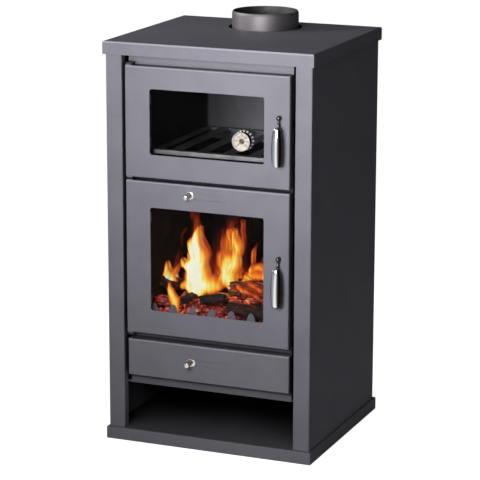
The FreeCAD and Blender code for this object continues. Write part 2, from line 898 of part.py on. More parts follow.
def seal_channel(door):
    """Two walls and a web around the door's back, which hold the rope."""
    z0, z1 = seal_levels(door)
    outer = rope_radius + channel_wall
    y0, y1 = door_inner_y, channel_end_y
    ring = frame(seal_half, z0, z1, y0, y1, -outer, outer)
    behind = frame(seal_half, z0, z1, channel_web_y, y1 + overrun, -rope_radius, rope_radius)
    before = frame(
        seal_half, z0, z1, y0 - overrun, channel_web_y - channel_wall, -rope_radius, rope_radius
    )
    return ring.cut(behind).cut(before)


def rope_seal(door):
    """A rope with flat sides laid around the door in its channel."""
    z0, z1 = seal_levels(door)
    start = V(0, rope_y, z0)
    corners = [(seal_half, z0), (seal_half, z1), (-seal_half, z1), (-seal_half, z0)]
    path = Part.makePolygon([start] + [V(x, rope_y, z) for x, z in corners] + [start])
    step = 2 * math.pi / rope_sides
    r = rope_radius / math.cos(step / 2)
    angles = [(i + 0.5) * step for i in range(rope_sides)]
    ring = [start + V(0, r * math.cos(angle), r * math.sin(angle)) for angle in angles]
    return path.makePipeShell([Part.makePolygon(ring + ring[:1])], True, False, 1)


def glass_levels(door):
    return door["sill"] - glass_lap, door["head"] + glass_lap


def glass_gasket(door):
    """Flat ring between the door panel and the glass."""
    z0, z1 = door["sill"], door["head"]
    outer = gasket_gap + gasket_width
    return frame(window_half, z0, z1, door_inner_y, glass_front_y, gasket_gap, outer)


def glass_pane(door):
    z0, z1 = glass_levels(door)
    return box(-glass_half, glass_half, glass_front_y, glass_back_y, z0, z1)


def clip_places(door):
    z0, z1 = glass_levels(door)
    return [(side, z) for side in (-1, 1) for z in (z0 + clip_inset, z1 - clip_inset)]


def glass_clip(z):
    """The clip on the right: a strip over the glass's edge, with a leg down to the panel."""
    x1 = channel_inner
    z0, z1 = z - clip_height / 2, z + clip_height / 2
    strip = box(glass_half - clip_reach, x1, glass_back_y, glass_back_y + clip_sheet, z0, z1)
    leg = box(x1 - clip_sheet, x1, door_inner_y, glass_back_y, z0, z1)
    return fuse_all([strip, leg])


def glass_clips(door):
    clips = []
    for side, z in clip_places(door):
        clip = glass_clip(z)
        clips.append(clip if side > 0 else mirrored(clip))
    return group(clips)


# Handles

def arm_path(z):
    """The arm's centre line: from the button down behind the grip, and back to a foot."""
    y_start = door_face_y - arm_start_out
    y_run = door_face_y - arm_out
    x = handle_x
    return [
        V(x, y_start, z),
        V(x, y_run, z - arm_drop),
        V(x, y_run, z - arm_foot_drop + arm_foot_bend),
        V(x, y_run + arm_foot_bend, z - arm_foot_drop),
    ]


def handle_arm(z):
    """Spindle through the door, button end in front, and the bent arm that carries the grip."""
    back = V(handle_x, tongue_back_y, z)
    spindle = cylinder(spindle_radius, back, OUT, tongue_back_y - door_face_y + slide_fit)
    seat = V(handle_x, door_face_y - slide_fit, z)
    button = many_sided(button_sides, button_radius, seat, button_length)
    return fuse_all([spindle, button, strip_along(arm_path(z), arm_sheet)])


def grip_section(z, width, depth):
    """Points of one level outline of the grip: a flattened oval."""
    step = 2 * math.pi / grip_sides
    y = door_face_y - grip_out
    return [
        V(handle_x + width / 2 * math.cos(i * step), y + depth / 2 * math.sin(i * step), z)
        for i in range(grip_sides)
    ]


def skinned(sections):
    """A solid with flat three-cornered faces between level outlines of equal count."""
    corners = [sections[0], sections[-1]]
    for low, high in zip(sections, sections[1:]):
        for i in range(len(low)):
            j = (i + 1) % len(low)
            corners += [[low[i], low[j], high[j]], [low[i], high[j], high[i]]]
    faces = [Part.Face(Part.makePolygon(points + points[:1])) for points in corners]
    return Part.Solid(Part.Shell(faces))


# Grip outline as shares of its length down, its width and its depth
GRIP_SHARES = (
    (0.0, 0.50, 0.46),
    (0.05, 0.60, 0.56),
    (0.25, 0.84, 0.84),
    (0.5, 0.99, 1.0),
    (0.75, 0.95, 0.95),
    (0.92, 0.76, 0.74),
    (1.0, 0.50, 0.46),
)


def handle_grip(z):
    """Boat-shaped grip with a groove in its back where the arm lies."""
    top = z - grip_top_drop
    sections = [
        grip_section(top - grip_length * down, grip_width * wide, grip_depth * deep)
        for down, wide, deep in GRIP_SHARES
    ]
    return skinned(sections).cut(strip_along(arm_path(z), arm_sheet))


def latch_tongue(z):
    """Flat tongue behind the door that points at the keeper."""
    y, c = tongue_back_y, tongue_chamfer
    x0, x1 = handle_x - spindle_radius - c, handle_x + tongue_reach
    half, hub = tongue_width / 2, spindle_radius + c
    outline = [
        V(x0, y, z - hub + c),
        V(x0 + c, y, z - hub),
        V(handle_x + spindle_radius, y, z - hub),
        V(handle_x + hub, y, z - half),
        V(x1 - c, y, z - half),
        V(x1, y, z - half + c),
        V(x1, y, z + half - c),
        V(x1 - c, y, z + half),
        V(handle_x + hub, y, z + half),
        V(handle_x + spindle_radius, y, z + hub),
        V(x0 + c, y, z + hub),
        V(x0, y, z + hub - c),
    ]
    hole = cylinder(spindle_radius, V(handle_x, y + overrun, z), OUT, tongue_sheet + 2 * overrun)
    return prism(outline, OUT * tongue_sheet).cut(hole)


# Air slides

def slide_ends():
    return -slot_half - slide_travel - slide_end_lap, slot_half + slide_end_lap


def air_slide(face_y, z):
    """Plate behind the slot. Its air holes come to the slot when it is pushed to the right."""
    y0 = face_y + door_sheet + slide_fit
    x0, x1 = slide_ends()
    half = slot_height / 2 + slide_lap
    plate = box(x0, x1, y0, y0 + slide_sheet, z - half, z + half)
    pitch = (slide_travel - air_hole_from_knob) / air_hole_count
    cuts = []
    for i in range(air_hole_count):
        x = knob_x - air_hole_from_knob - i * pitch
        cuts.append(
            box(
                x - pitch * air_hole_share / 2,
                x + pitch * air_hole_share / 2,
                y0 - overrun,
                y0 + slide_sheet + overrun,
                z - air_hole_height / 2,
                z + air_hole_height / 2,
            )
        )
    return plate.cut(cuts)


def air_rails(face_y, z):
    """Two strips that hold the slide against the panel."""
    y0 = face_y + door_sheet
    y1 = y0 + 2 * slide_fit + slide_sheet
    x0 = slide_ends()[0]
    x1 = slide_ends()[1] + slide_travel
    half = slot_height / 2 + slide_lap + slide_fit
    rails = []
    for side in (-1, 1):
        a, b = sorted((z + side * half, z + side * (half + rail_leg)))
        c, d = sorted((z + side * (half - rail_lip), z + side * (half + rail_leg)))
        leg = box(x0, x1, y0, y1, a, b)
        lip = box(x0, x1, y1, y1 + rail_sheet, c, d)
        rails.append(fuse_all([leg, lip]))
    return group(rails)


def air_knob(face_y, z):
    """Round pin on a thin disc, with a neck through the slot that is riveted to the slide."""
    disc_y = face_y - slide_fit
    end_y = face_y - knob_reach
    neck_start = V(knob_x, face_y + door_sheet + slide_fit, z)
    neck = cylinder(knob_neck_radius, neck_start, OUT, neck_start.y - disc_y)
    disc = many_sided(knob_sides, knob_radius, V(knob_x, disc_y, z), knob_disc)
    pin = cylinder(knob_pin_radius, V(knob_x, disc_y - knob_disc, z), OUT, disc_y - knob_disc - end_y)
    return fuse_all([neck, disc, pin])


# Ash drawer

def ash_drawer_front():
    panel = folded_panel(
        door_half, drawer_face_y, drawer_back_y, drawer_bottom_z, drawer_top_z, door_sheet, door_bend
    )
    return panel.cut(slot_cuts(drawer_face_y, drawer_slot_z))


def pan_block(x0, x1, y0, y1, z0, z1, radius):
    """A block with its two rear upright edges rounded."""
    block = box(x0, x1, y0, y1, z0, z1)
    rear = [e for e in block.Edges if runs_along(e, UP) and lies_at(e, OUT, -y1)]
    return block.makeFillet(radius, rear)


def ash_pan():
    """Open pan whose front wall is a plate that closes the back of the drawer front."""
    s = pan_sheet
    y0 = drawer_back_y - s
    y1 = pan_back_y
    outer = pan_block(-pan_half, pan_half, y0, y1, pan_bottom_z, pan_top_z, pan_corner)
    bottom_z, rim_z = pan_bottom_z + s, pan_top_z + overrun
    inner = pan_block(-pan_half + s, pan_half - s, y0 + s, y1 - s, bottom_z, rim_z, pan_corner - s)
    half = door_half - door_sheet - pan_front_play
    z0 = drawer_bottom_z + door_sheet + pan_front_play
    z1 = drawer_top_z - door_sheet - pan_front_play
    front = box(-half, half, y0, y0 + s, z0, z1)
    air_top = pan_top_z - pan_air_drop
    holes = [
        box(
            x - pan_air_width / 2,
            x + pan_air_width / 2,
            y0 - overrun,
            y0 + s + overrun,
            air_top - pan_air_height,
            air_top,
        )
        for x in spread(air_hole_count, pan_air_pitch)
    ]
    return fuse_all([outer.cut(inner), front]).cut(holes)


# Thermometer

def thermo_centre(y):
    return V(thermometer_x, y, thermometer_z)


def thermometer_case():
    """Cup and a stem through the fin ring and the glass."""
    length = glass_back_y + thermo_stem_length - thermo_rim_y
    at_cup = length - thermo_depth
    inner = thermo_radius - thermo_wall
    profile = [
        (0, 0),
        (thermo_stem_radius, 0),
        (thermo_stem_radius, at_cup),
        (thermo_radius, at_cup),
        (thermo_radius, length),
        (inner, length),
        (inner, at_cup + thermo_wall),
        (0, at_cup + thermo_wall),
    ]
    return turned(profile, thermo_centre(thermo_rim_y + length), OUT)


def thermometer_fin_ring():
    """Cooling ring on the glass: radial teeth around a plain hub."""
    centre = thermo_centre(glass_front_y)
    step = 2 * math.pi / fin_count
    outline = []
    for i in range(fin_count):
        for radius, share in (
            (fin_root, -fin_root_share),
            (fin_radius, -fin_tip_share),
            (fin_radius, fin_tip_share),
            (fin_root, fin_root_share),
        ):
            angle = (i + share / 2) * step
            outline.append(centre + V(radius * math.cos(angle), 0, radius * math.sin(angle)))
    hole = cylinder(thermo_stem_radius, centre - OUT * overrun, OUT, fin_sheet + 2 * overrun)
    return prism(outline, OUT * fin_sheet).cut(hole)


def thermometer_dial():
    centre = thermo_centre(thermo_dial_y + dial_sheet)
    disc = many_sided(disc_sides, thermo_radius - thermo_wall, centre, dial_sheet)
    return disc.cut(
        cylinder(arbor_radius + running_fit, centre - OUT * overrun, OUT, dial_sheet + 2 * overrun)
    )


def thermometer_needle():
    """Arbor through the dial and a tapered pointer with a tail."""
    y0 = thermo_dial_y - needle_lift
    back = thermo_dial_y + dial_sheet + arbor_behind
    arbor = cylinder(arbor_radius, thermo_centre(back), OUT, back - y0)
    x, z = thermometer_x, thermometer_z
    wide, tip = needle_width / 2, needle_width / 2 * needle_tip_share
    outline = [
        V(x - wide, y0, z - needle_tail),
        V(x + wide, y0, z - needle_tail),
        V(x + tip, y0, z + needle_length),
        V(x - tip, y0, z + needle_length),
    ]
    needle = fuse_all([arbor, prism(outline, OUT * needle_sheet)])
    needle.rotate(thermo_centre(y0), OUT, needle_rest_angle)
    return needle


def thermometer_lens():
    centre = thermo_centre(thermo_rim_y + lens_setback + lens_sheet)
    return many_sided(disc_sides, thermo_radius - thermo_wall, centre, lens_sheet)


def thermometer_nut():
    centre = thermo_centre(glass_back_y + thermo_nut_height)
    hole = cylinder(thermo_stem_radius, centre - OUT * overrun, OUT, thermo_nut_height + 2 * overrun)
    return many_sided(nut_sides, thermo_nut_radius, centre, thermo_nut_height).cut(hole)


def oven_door_glass():
    centre = thermo_centre(glass_front_y)
    radius = thermo_stem_radius + thermo_hole_play
    return glass_pane(OVEN_DOOR).cut(
        cylinder(radius, centre + OUT * overrun, -OUT, glass_sheet + 2 * overrun)
    )


NODES = {
    "top_plate": top_plate,
    "base_plate": base_plate,
    "side_panel_left": side_panel_left,
    "side_panel_right": side_panel_right,
    "back_panel": back_panel,
    "niche_ceiling": niche_ceiling,
    "front_plate": front_plate,
    "hinge_pins": hinge_pins,
    "latch_keepers": latch_keepers,
    "firebox_shell": firebox_shell,
    "body_top": body_top,
    "flue_collar": flue_collar,
    "oven_box": oven_box,
    "oven_rack": oven_rack,
    "rack_ledges": rack_ledges,
    "firebox_floor": firebox_floor,
    "fire_grate": fire_grate,
    "side_bricks": side_bricks,
    "back_bricks": back_bricks,
    "floor_bricks": floor_bricks,
    "baffle_plate": baffle_plate,
    "log_guard": log_guard,
    "drawer_runners": drawer_runners,
    "oven_door_panel": oven_door_panel,
    "oven_door_seal_channel": lambda: seal_channel(OVEN_DOOR),
    "oven_door_rope_seal": lambda: rope_seal(OVEN_DOOR),
    "oven_door_gasket": lambda: glass_gasket(OVEN_DOOR),
    "oven_door_glass": oven_door_glass,
    "oven_door_clips": lambda: glass_clips(OVEN_DOOR),
    "thermometer_case": thermometer_case,
    "thermometer_fin_ring": thermometer_fin_ring,
    "thermometer_dial": thermometer_dial,
    "thermometer_needle": thermometer_needle,
    "thermometer_lens": thermometer_lens,
    "thermometer_nut": thermometer_nut,
    "oven_handle_arm": lambda: handle_arm(oven_handle_z),
    "oven_handle_grip": lambda: handle_grip(oven_handle_z),
    "oven_latch_tongue": lambda: latch_tongue(oven_handle_z),
    "fire_door_panel": fire_door_panel,
    "fire_door_seal_channel": lambda: seal_channel(FIRE_DOOR),
    "fire_door_rope_seal": lambda: rope_seal(FIRE_DOOR),
    "fire_door_gasket": lambda: glass_gasket(FIRE_DOOR),
    "fire_door_glass": lambda: glass_pane(FIRE_DOOR),
    "fire_door_clips": lambda: glass_clips(FIRE_DOOR),
    "fire_air_rails": lambda: air_rails(door_face_y, fire_slot_z),
    "fire_air_slide": lambda: air_slide(door_face_y, fire_slot_z),
    "fire_air_knob": lambda: air_knob(door_face_y, fire_slot_z),
    "fire_handle_arm": lambda: handle_arm(fire_handle_z),
    "fire_handle_grip": lambda: handle_grip(fire_handle_z),
    "fire_latch_tongue": lambda: latch_tongue(fire_handle_z),
    "ash_drawer_front": ash_drawer_front,
    "ash_pan": ash_pan,
    "ash_air_rails": lambda: air_rails(drawer_face_y, drawer_slot_z),
    "ash_air_slide": lambda: air_slide(drawer_face_y, drawer_slot_z),
    "ash_air_knob": lambda: air_knob(drawer_face_y, drawer_slot_z),
}

os.makedirs("parts", exist_ok=True)
for name, make in NODES.items():
    shape = make()
    shape.exportStep("parts/" + name + ".step")
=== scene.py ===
"""Looks of a steel wood stove with an oven above the fire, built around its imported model.

Lengths are in metres, in the model's own frame: x to the right, y to the back, z up.
"""
import json
import math
import random

import bmesh
import bpy
from mathutils import Matrix, Quaternion, Vector, noise


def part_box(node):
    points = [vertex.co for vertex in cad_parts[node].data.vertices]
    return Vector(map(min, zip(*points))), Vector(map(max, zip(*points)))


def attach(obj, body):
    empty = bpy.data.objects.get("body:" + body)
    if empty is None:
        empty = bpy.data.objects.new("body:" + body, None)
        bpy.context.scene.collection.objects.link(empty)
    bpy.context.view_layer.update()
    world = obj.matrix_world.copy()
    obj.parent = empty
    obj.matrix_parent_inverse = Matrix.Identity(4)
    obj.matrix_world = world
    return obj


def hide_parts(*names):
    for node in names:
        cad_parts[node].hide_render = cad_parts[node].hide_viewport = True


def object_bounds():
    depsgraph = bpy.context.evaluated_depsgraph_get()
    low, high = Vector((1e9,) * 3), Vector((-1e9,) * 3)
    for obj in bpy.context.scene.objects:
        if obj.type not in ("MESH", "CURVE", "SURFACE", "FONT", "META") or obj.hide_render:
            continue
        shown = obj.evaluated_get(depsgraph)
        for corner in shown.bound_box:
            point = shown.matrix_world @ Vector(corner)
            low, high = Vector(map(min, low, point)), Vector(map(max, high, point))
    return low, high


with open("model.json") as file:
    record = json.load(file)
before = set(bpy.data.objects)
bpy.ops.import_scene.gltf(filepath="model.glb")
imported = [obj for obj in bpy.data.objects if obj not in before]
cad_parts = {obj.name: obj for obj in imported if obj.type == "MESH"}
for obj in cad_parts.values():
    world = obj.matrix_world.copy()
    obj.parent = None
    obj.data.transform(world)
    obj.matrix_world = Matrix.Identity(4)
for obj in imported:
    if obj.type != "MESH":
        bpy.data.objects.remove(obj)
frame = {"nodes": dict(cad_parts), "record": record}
cad_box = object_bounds()
nodes = frame["nodes"]
MM = 0.001
sharp_fold = math.radians(35)

# Handles
spindle_radius = 3.2 * MM
head_radius = 4.8 * MM
head_depth = 10.5 * MM
head_crown = 3.5 * MM
head_drop = 5.0 * MM
neck_radius = 2.9 * MM
neck_set_back = 4.5 * MM
arm_set_back = 6.5 * MM

# Flue collar, knobs and screws
collar_wall = 4.0 * MM
knob_pin = 6.2 * MM
casing_screw = 4.0 * MM
casing_screw_inset = 10.0 * MM
clip_screw = 2.2 * MM
clip_screw_inset = 3.0 * MM

# Thermometer's dial
dial_start = math.radians(225)
dial_sweep = math.radians(270)
tick_steps = 36
number_steps = 6
heat_per_number = 50
number_size = 5.2 * MM
tick_depth = 0.25 * MM

# Flames: the cells of their mesh in millimetres, the heat at their edge, and the rise in heat to full cover
flame_cell_x = 1.7
flame_cell_z = 2.4
flame_edge = 0.10
flame_fade = 0.34

# Camera, fitted to the corners in the photograph
camera_yaw = math.radians(22.37)
camera_pitch = math.radians(13.70)
camera_roll = math.radians(0.13)
camera_distance = 4.959
camera_lens = 168.0
camera_aim = Vector((0, 12.5 * MM, 442.5 * MM))
aim_left = 9.9 * MM
aim_down = 17.3 * MM

# Directions from the stove to the white screen and to the grey cloth that its metal shows
screen_side = (0.14, -0.99, 0)
cloth_side = (-0.64, -0.77, 0)

# Colours, linear
PAINT = (0.260, 0.253, 0.292)
PAINT_DARK = (0.170, 0.164, 0.186)
PAINT_FRONT = (0.262, 0.255, 0.290)
PAINT_FLUE = (0.262, 0.243, 0.260)
SOOT = (0.012, 0.011, 0.011)


# Shader trees

def feed(tree, socket, source):
    """Sets a socket to a number, a vector or a colour, or links it to the output of another node."""
    if isinstance(source, bpy.types.NodeSocket):
        tree.links.new(source, socket)
    elif socket.type == "RGBA":
        socket.default_value = (*source, 1)
    else:
        socket.default_value = source


def add_node(tree, kind, *sources, operation=None, **inputs):
    """A node with its inputs set or linked, in their order or by name. An underline stands for a space."""
    node = tree.nodes.new(f"ShaderNode{kind}")
    if operation:
        node.operation = operation
    for socket, source in zip(node.inputs, sources):
        feed(tree, socket, source)
    for name, source in inputs.items():
        feed(tree, node.inputs[name.replace("_", " ")], source)
    return node


def spread(tree, value, low, high, start, end):
    """A value taken from the range between start and end to the one between low and high."""
    return add_node(tree, "MapRange", value, start, end, low, high).outputs["Result"]


def toward(tree, vector, direction):
    """How far a vector lies in a direction, from -1 to 1."""
    return add_node(tree, "VectorMath", vector, direction, operation="DOT_PRODUCT").outputs["Value"]


def grey(level):
    return (level, level, level)


def scaled(colour, share):
    return tuple(channel * share for channel in colour)


# Materials

class Surface:
    """One procedural material, with short calls for the few nodes that the surfaces share."""

    def __init__(self, name):
        self.data = bpy.data.materials.new(name)
        self.data.use_nodes = True
        self.tree = self.data.node_tree
        self.shader = self.tree.nodes["Principled BSDF"]
        self.place = add_node(self.tree, "TexCoord").outputs["Object"]

    def stretched(self, stretch):
        """Object coordinates scaled along each axis. A small scale draws a pattern out."""
        return add_node(self.tree, "Mapping", Vector=self.place, Scale=stretch).outputs["Vector"]

    def texture(self, kind, stretch=None, **inputs):
        """A pattern over the object's coordinates."""
        place = self.stretched(stretch) if stretch else self.place
        return add_node(self.tree, f"Tex{kind}", Vector=place, **inputs)

    def lumps(self, size, detail=3.0, roughness=0.55, stretch=None, warp=0.0):
        """Smooth noise from 0 to 1, with lumps of about this size."""
        node = self.texture("Noise", stretch, Scale=1 / size, Detail=detail, Roughness=roughness,
                            Distortion=warp)
        return node.outputs["Fac"]

    def cells(self, size, feature="F1", stretch=None):
        """Distances in a pattern of cells of about this size."""
        node = self.texture("Voronoi", stretch, Scale=1 / size)
        node.feature = feature
        return node.outputs["Distance"]

    def braid(self, size):
        """Slanting bands of this width."""
        node = self.texture("Wave", Scale=1 / size)
        node.bands_direction = "DIAGONAL"
        return node.outputs["Fac"]

    def ramp(self, value, *stops):
        """A colour for a value: each stop is a position and a linear colour."""
        node = add_node(self.tree, "ValToRGB", Fac=value)
        elements = node.color_ramp.elements
        while len(elements) < len(stops):
            elements.new(0.5)
        for element, (position, colour) in zip(elements, stops):
            element.position = position
            element.color = (*colour, 1)
        return node.outputs["Color"]

    def spread(self, value, low, high, start=0.3, end=0.7):
        """A value taken from one range, at first that of a noise, to the one between low and high."""
        return spread(self.tree, value, low, high, start, end)

    def along(self, axis, start, end):
        """A value that goes from 0 to 1 between two places on one axis."""
        node = add_node(self.tree, "SeparateXYZ", Vector=self.place)
        return self.spread(node.outputs[axis], 0.0, 1.0, start, end)

    def dusk(self):
        """Painted shade: dark where other surfaces stand close, in gaps and hollows."""
        node = add_node(self.tree, "AmbientOcclusion", Distance=0.25)
        node.samples = 12
        return self.ramp(node.outputs["AO"], (0.05, grey(0.04)), (0.18, grey(0.30)), (0.36, grey(1.0)))

    def away(self, centre, start, end):
        """A value that goes from 0 to 1 between two distances from an upright line."""
        node = add_node(self.tree, "VectorMath", self.stretched((1, 1, 0)), centre, operation="DISTANCE")
        return self.spread(node.outputs["Value"], 0.0, 1.0, start, end)

    def facing(self, direction):
        """How far the surface faces in this direction, from -1 to 1."""
        normal = add_node(self.tree, "NewGeometry").outputs["True Normal"]
        return toward(self.tree, normal, direction)

    def mixed(self, factor, first, second, blend="MIX"):
        """Two colours mixed by a value."""
        node = add_node(self.tree, "Mix")
        node.data_type = "RGBA"
        node.blend_type = blend
        for socket, source in ((0, factor), (6, first), (7, second)):
            feed(self.tree, node.inputs[socket], source)
        return node.outputs[2]

    def shaded(self, tone, shade, share=1.0):
        """A colour darkened by another one."""
        return self.mixed(share, tone, shade, "MULTIPLY")

    def finished(self, relief=(), **sockets):
        """The material with its sockets fed, and with relief from layers of a height and its depth."""
        for height, depth in relief:
            node = add_node(self.tree, "Bump", Strength=1, Distance=depth, Height=height)
            if "Normal" in sockets:
                feed(self.tree, node.inputs["Normal"], sockets["Normal"])
            sockets["Normal"] = node.outputs["Normal"]
        for name, source in sockets.items():
            feed(self.tree, self.shader.inputs[name.replace("_", " ")], source)
        return self.data


def stove_paint(name, colour, roughness, with_painted_shade=True, edges=0, bands=()):
    """Heat-proof anthracite paint: fine grain, faint cloudiness from the spray gun, satin.

    The rounded folds at its upper front edges are paler by the factor edges: a painted highlight. Each band
    is painted shade by place: an axis, its start and end, and stops of a share of the way and a shade.
    """
    look = Surface(name)
    grain = look.lumps(0.9 * MM, detail=2)
    clouds = look.lumps(70 * MM, detail=3)
    fine = look.ramp(grain, (0.3, scaled(colour, 0.86)), (0.5, colour), (0.72, scaled(colour, 1.16)))
    broad = look.ramp(clouds, (0.3, (0.94, 0.94, 0.945)), (0.7, (1.05, 1.045, 1.05)))
    tone = look.shaded(fine, broad)
    # Painted highlight: the rounded upper front folds are made paler
    if edges:
        highlit_fold = look.spread(look.facing((0, -0.707, 0.707)), 0.0, 1.0, 0.72, 0.80)
        tone = look.mixed(highlit_fold, tone, scaled(colour, edges))
    # Painted shade by place, one band after another
    for axis, start, end, stops in bands:
        way = look.along(axis, start, end)
        tone = look.shaded(tone, look.ramp(way, *((share, grey(level)) for share, level in stops)))
    # Painted shade in gaps and hollows, unless turned off
    return look.finished(
        Base_Color=look.shaded(tone, look.dusk()) if with_painted_shade else tone,
        Roughness=look.spread(grain, roughness - 0.05, roughness + 0.07),
        Specular_IOR_Level=0.12,
        relief=[(look.lumps(26 * MM, detail=1), 0.25 * MM), (grain, 0.035 * MM)],
    )


def flue_steel(name, colour):
    """Brushed and painted steel of the flue collar, darker inside its bore, with painted shade in its
    hollows.
    """
    low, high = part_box("flue_collar")
    middle = (low + high) / 2
    bore = (high.x - low.x) / 2 - collar_wall
    look = Surface(name)
    brushed = look.lumps(14 * MM, detail=4, stretch=(1, 1, 14))
    tone = look.ramp(brushed, (0.3, scaled(colour, 0.86)), (0.5, colour), (0.7, scaled(colour, 1.12)))
    # Darker inside the bore
    outside = look.away((middle.x, middle.y, 0), bore + 0.5 * MM, bore + 1.0 * MM)
    tone = look.mixed(outside, scaled(colour, 0.60), tone)
    # Painted shade in hollows
    return look.finished(
        Base_Color=look.shaded(tone, look.dusk()),
        Metallic=0.9,
        Roughness=look.spread(brushed, 0.50, 0.60),
        Specular_IOR_Level=0.3,
        relief=[(brushed, 0.03 * MM)],
    )


def mill_steel(name, colour, roughness, shaded_from=None):
    """Rolled steel with faint rolling lines and heat tint. Behind a given depth in y it is darkened as
    painted shade.
    """
    look = Surface(name)
    lines = look.lumps(24 * MM, detail=4, stretch=(40, 40, 1.2))
    stains = look.lumps(60 * MM, detail=5, warp=0.6)
    tone = look.ramp(stains, (0.3, scaled(colour, 0.72)), (0.55, colour), (0.75, scaled(colour, 1.12)))
    # Painted shade behind the given depth
    if shaded_from:
        behind = look.along("Y", shaded_from, shaded_from + 3 * MM)
        tone = look.shaded(tone, look.ramp(behind, (0, grey(1)), (1, (0.42, 0.42, 0.43))))
    return look.finished(
        Base_Color=look.shaded(tone, look.ramp(lines, (0.3, grey(0.3)), (0.7, grey(1))), 0.22),
        Metallic=0.85,
        Roughness=look.spread(stains, roughness - 0.08, roughness + 0.12),
        relief=[(lines, 0.05 * MM)],
    )


def chrome(name, colour=(0.80, 0.81, 0.83), roughness=0.05, tint=None):
    """Bright chrome plating with a trace of haze and wear. A tint, a painted reflection across the piece,
    has a start and end in x, and stops.
    """
    look = Surface(name)
    haze = look.lumps(9 * MM, detail=5, roughness=0.7)
    wear = look.lumps(0.5 * MM, detail=2, stretch=(1, 1, 6))
    tone = look.ramp(haze, (0.3, scaled(colour, 0.94)), (0.7, colour))
    # Painted reflection across x
    if tint:
        start, end, stops = tint
        tone = look.shaded(tone, look.ramp(look.along("X", start, end), *stops))
    return look.finished(
        Base_Color=tone,
        Metallic=1.0,
        Roughness=look.spread(haze, roughness, roughness + 0.08),
        relief=[(look.lumps(5 * MM, detail=1), 0.05 * MM), (wear, 0.002 * MM)],
    )


def cast_iron(name):
    """Black cast iron, rusty in places."""
    look = Surface(name)
    grit = look.cells(2.2 * MM)
    rust = look.lumps(18 * MM, detail=6)
    black, worn, red = (0.018, 0.017, 0.017), (0.05, 0.045, 0.043), (0.09, 0.05, 0.03)
    return look.finished(
        Base_Color=look.ramp(rust, (0.35, black), (0.6, worn), (0.8, red)),
        Metallic=0.35,
        Roughness=look.spread(rust, 0.62, 0.85),
        relief=[(look.lumps(4 * MM, detail=3), 0.5 * MM), (grit, 0.15 * MM)],
    )


def fire_brick(name):
    """Vermiculite brick, burnt pale in places and blackened in others."""
    look = Surface(name)
    soot = look.lumps(85 * MM, detail=5, warp=0.4)
    flakes = look.cells(3.5 * MM)
    tint = look.ramp(flakes, (0.1, (0.022, 0.018, 0.014)), (0.6, (0.042, 0.034, 0.027)))
    return look.finished(
        Base_Color=look.mixed(look.spread(soot, 0.95, 0.35, 0.42, 0.72), tint, SOOT),
        Roughness=0.95,
        Specular_IOR_Level=0.1,
        relief=[(look.lumps(14 * MM, detail=4), 0.9 * MM), (flakes, 0.4 * MM)],
    )


def sooty_steel(name, colour):
    """Steel that the fire has blackened, grey where the soot is thin."""
    look = Surface(name)
    soot = look.lumps(45 * MM, detail=6, warp=0.5)
    return look.finished(
        Base_Color=look.ramp(soot, (0.3, SOOT), (0.6, colour), (0.8, scaled(colour, 1.7))),
        Metallic=0.3,
        Roughness=look.spread(soot, 0.8, 0.55),
        relief=[(look.lumps(1.5 * MM, detail=4), 0.12 * MM)],
    )


def oven_enamel(name):
    """Enamelled sheet of the oven: painted shade near black on the sides, grey on the back wall with painted
    light that is palest to the right.
    """
    look = Surface(name)
    low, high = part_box("oven_box")
    clouds = look.lumps(90 * MM, detail=3)
    speckle = look.ramp(look.cells(1.1 * MM), (0.15, grey(1.0)), (0.5, grey(0.35)))
    # Painted light on the back wall: palest to the right
    rightward = look.along("X", low.x, high.x)
    pale = look.ramp(rightward, (0.1, (0.075, 0.075, 0.085)), (0.85, (0.40, 0.40, 0.44)))
    # Painted shade: the sides near black
    shaded_sides = look.ramp(clouds, (0.3, grey(0.001)), (0.7, grey(0.003)))
    back = look.along("Y", high.y - 14 * MM, high.y - 6 * MM)
    return look.finished(
        Base_Color=look.mixed(back, shaded_sides, look.shaded(pale, speckle, 0.25)),
        Roughness=look.spread(clouds, 0.50, 0.65),
        Specular_IOR_Level=0.05,
        relief=[(look.lumps(6 * MM, detail=2), 0.06 * MM)],
    )


def glass_fibre(name):
    """Braided rope seal of glass fibre, grey with graphite."""
    look = Surface(name)
    strands = look.braid(3.2 * MM)
    fibres = look.lumps(0.8 * MM, detail=3)
    graphite = look.ramp(strands, (0.2, grey(0.03)), (0.8, (0.085, 0.083, 0.08)))
    return look.finished(
        Base_Color=look.shaded(graphite, look.ramp(fibres, (0.3, grey(0.4)), (0.7, grey(1))), 0.5),
        Roughness=0.95,
        Sheen_Weight=0.3,
        relief=[(strands, 0.6 * MM), (fibres, 0.2 * MM)],
    )


def fire_glass(name):
    """Ceramic glass: nearly clear, with a smoky tint and a thin veil of soot in patches."""
    look = Surface(name)
    veil = look.lumps(55 * MM, detail=4, warp=0.8)
    return look.finished(
        Base_Color=look.ramp(veil, (0.3, grey(0.004)), (0.8, (0.010, 0.009, 0.008))),
        Alpha=look.spread(veil, 0.05, 0.10),
        Roughness=look.spread(veil, 0.03, 0.07),
        Specular_IOR_Level=0.12,
    )


def clear_lens(name):
    """Clear glass with a little dust."""
    look = Surface(name)
    dust = look.lumps(4 * MM, detail=3)
    return look.finished(
        Base_Color=look.ramp(dust, (0.3, grey(0.5)), (0.7, grey(0.7))),
        Alpha=look.spread(dust, 0.04, 0.08),
        Roughness=0.04,
        Specular_IOR_Level=0.3,
    )


def dial_card(name):
    """Cream card of the dial."""
    look = Surface(name)
    mottle = look.lumps(2.5 * MM, detail=4)
    return look.finished(
        Base_Color=look.ramp(mottle, (0.3, (0.66, 0.60, 0.47)), (0.7, (0.80, 0.75, 0.62))),
        Roughness=look.spread(mottle, 0.45, 0.6),
        relief=[(mottle, 0.02 * MM)],
    )


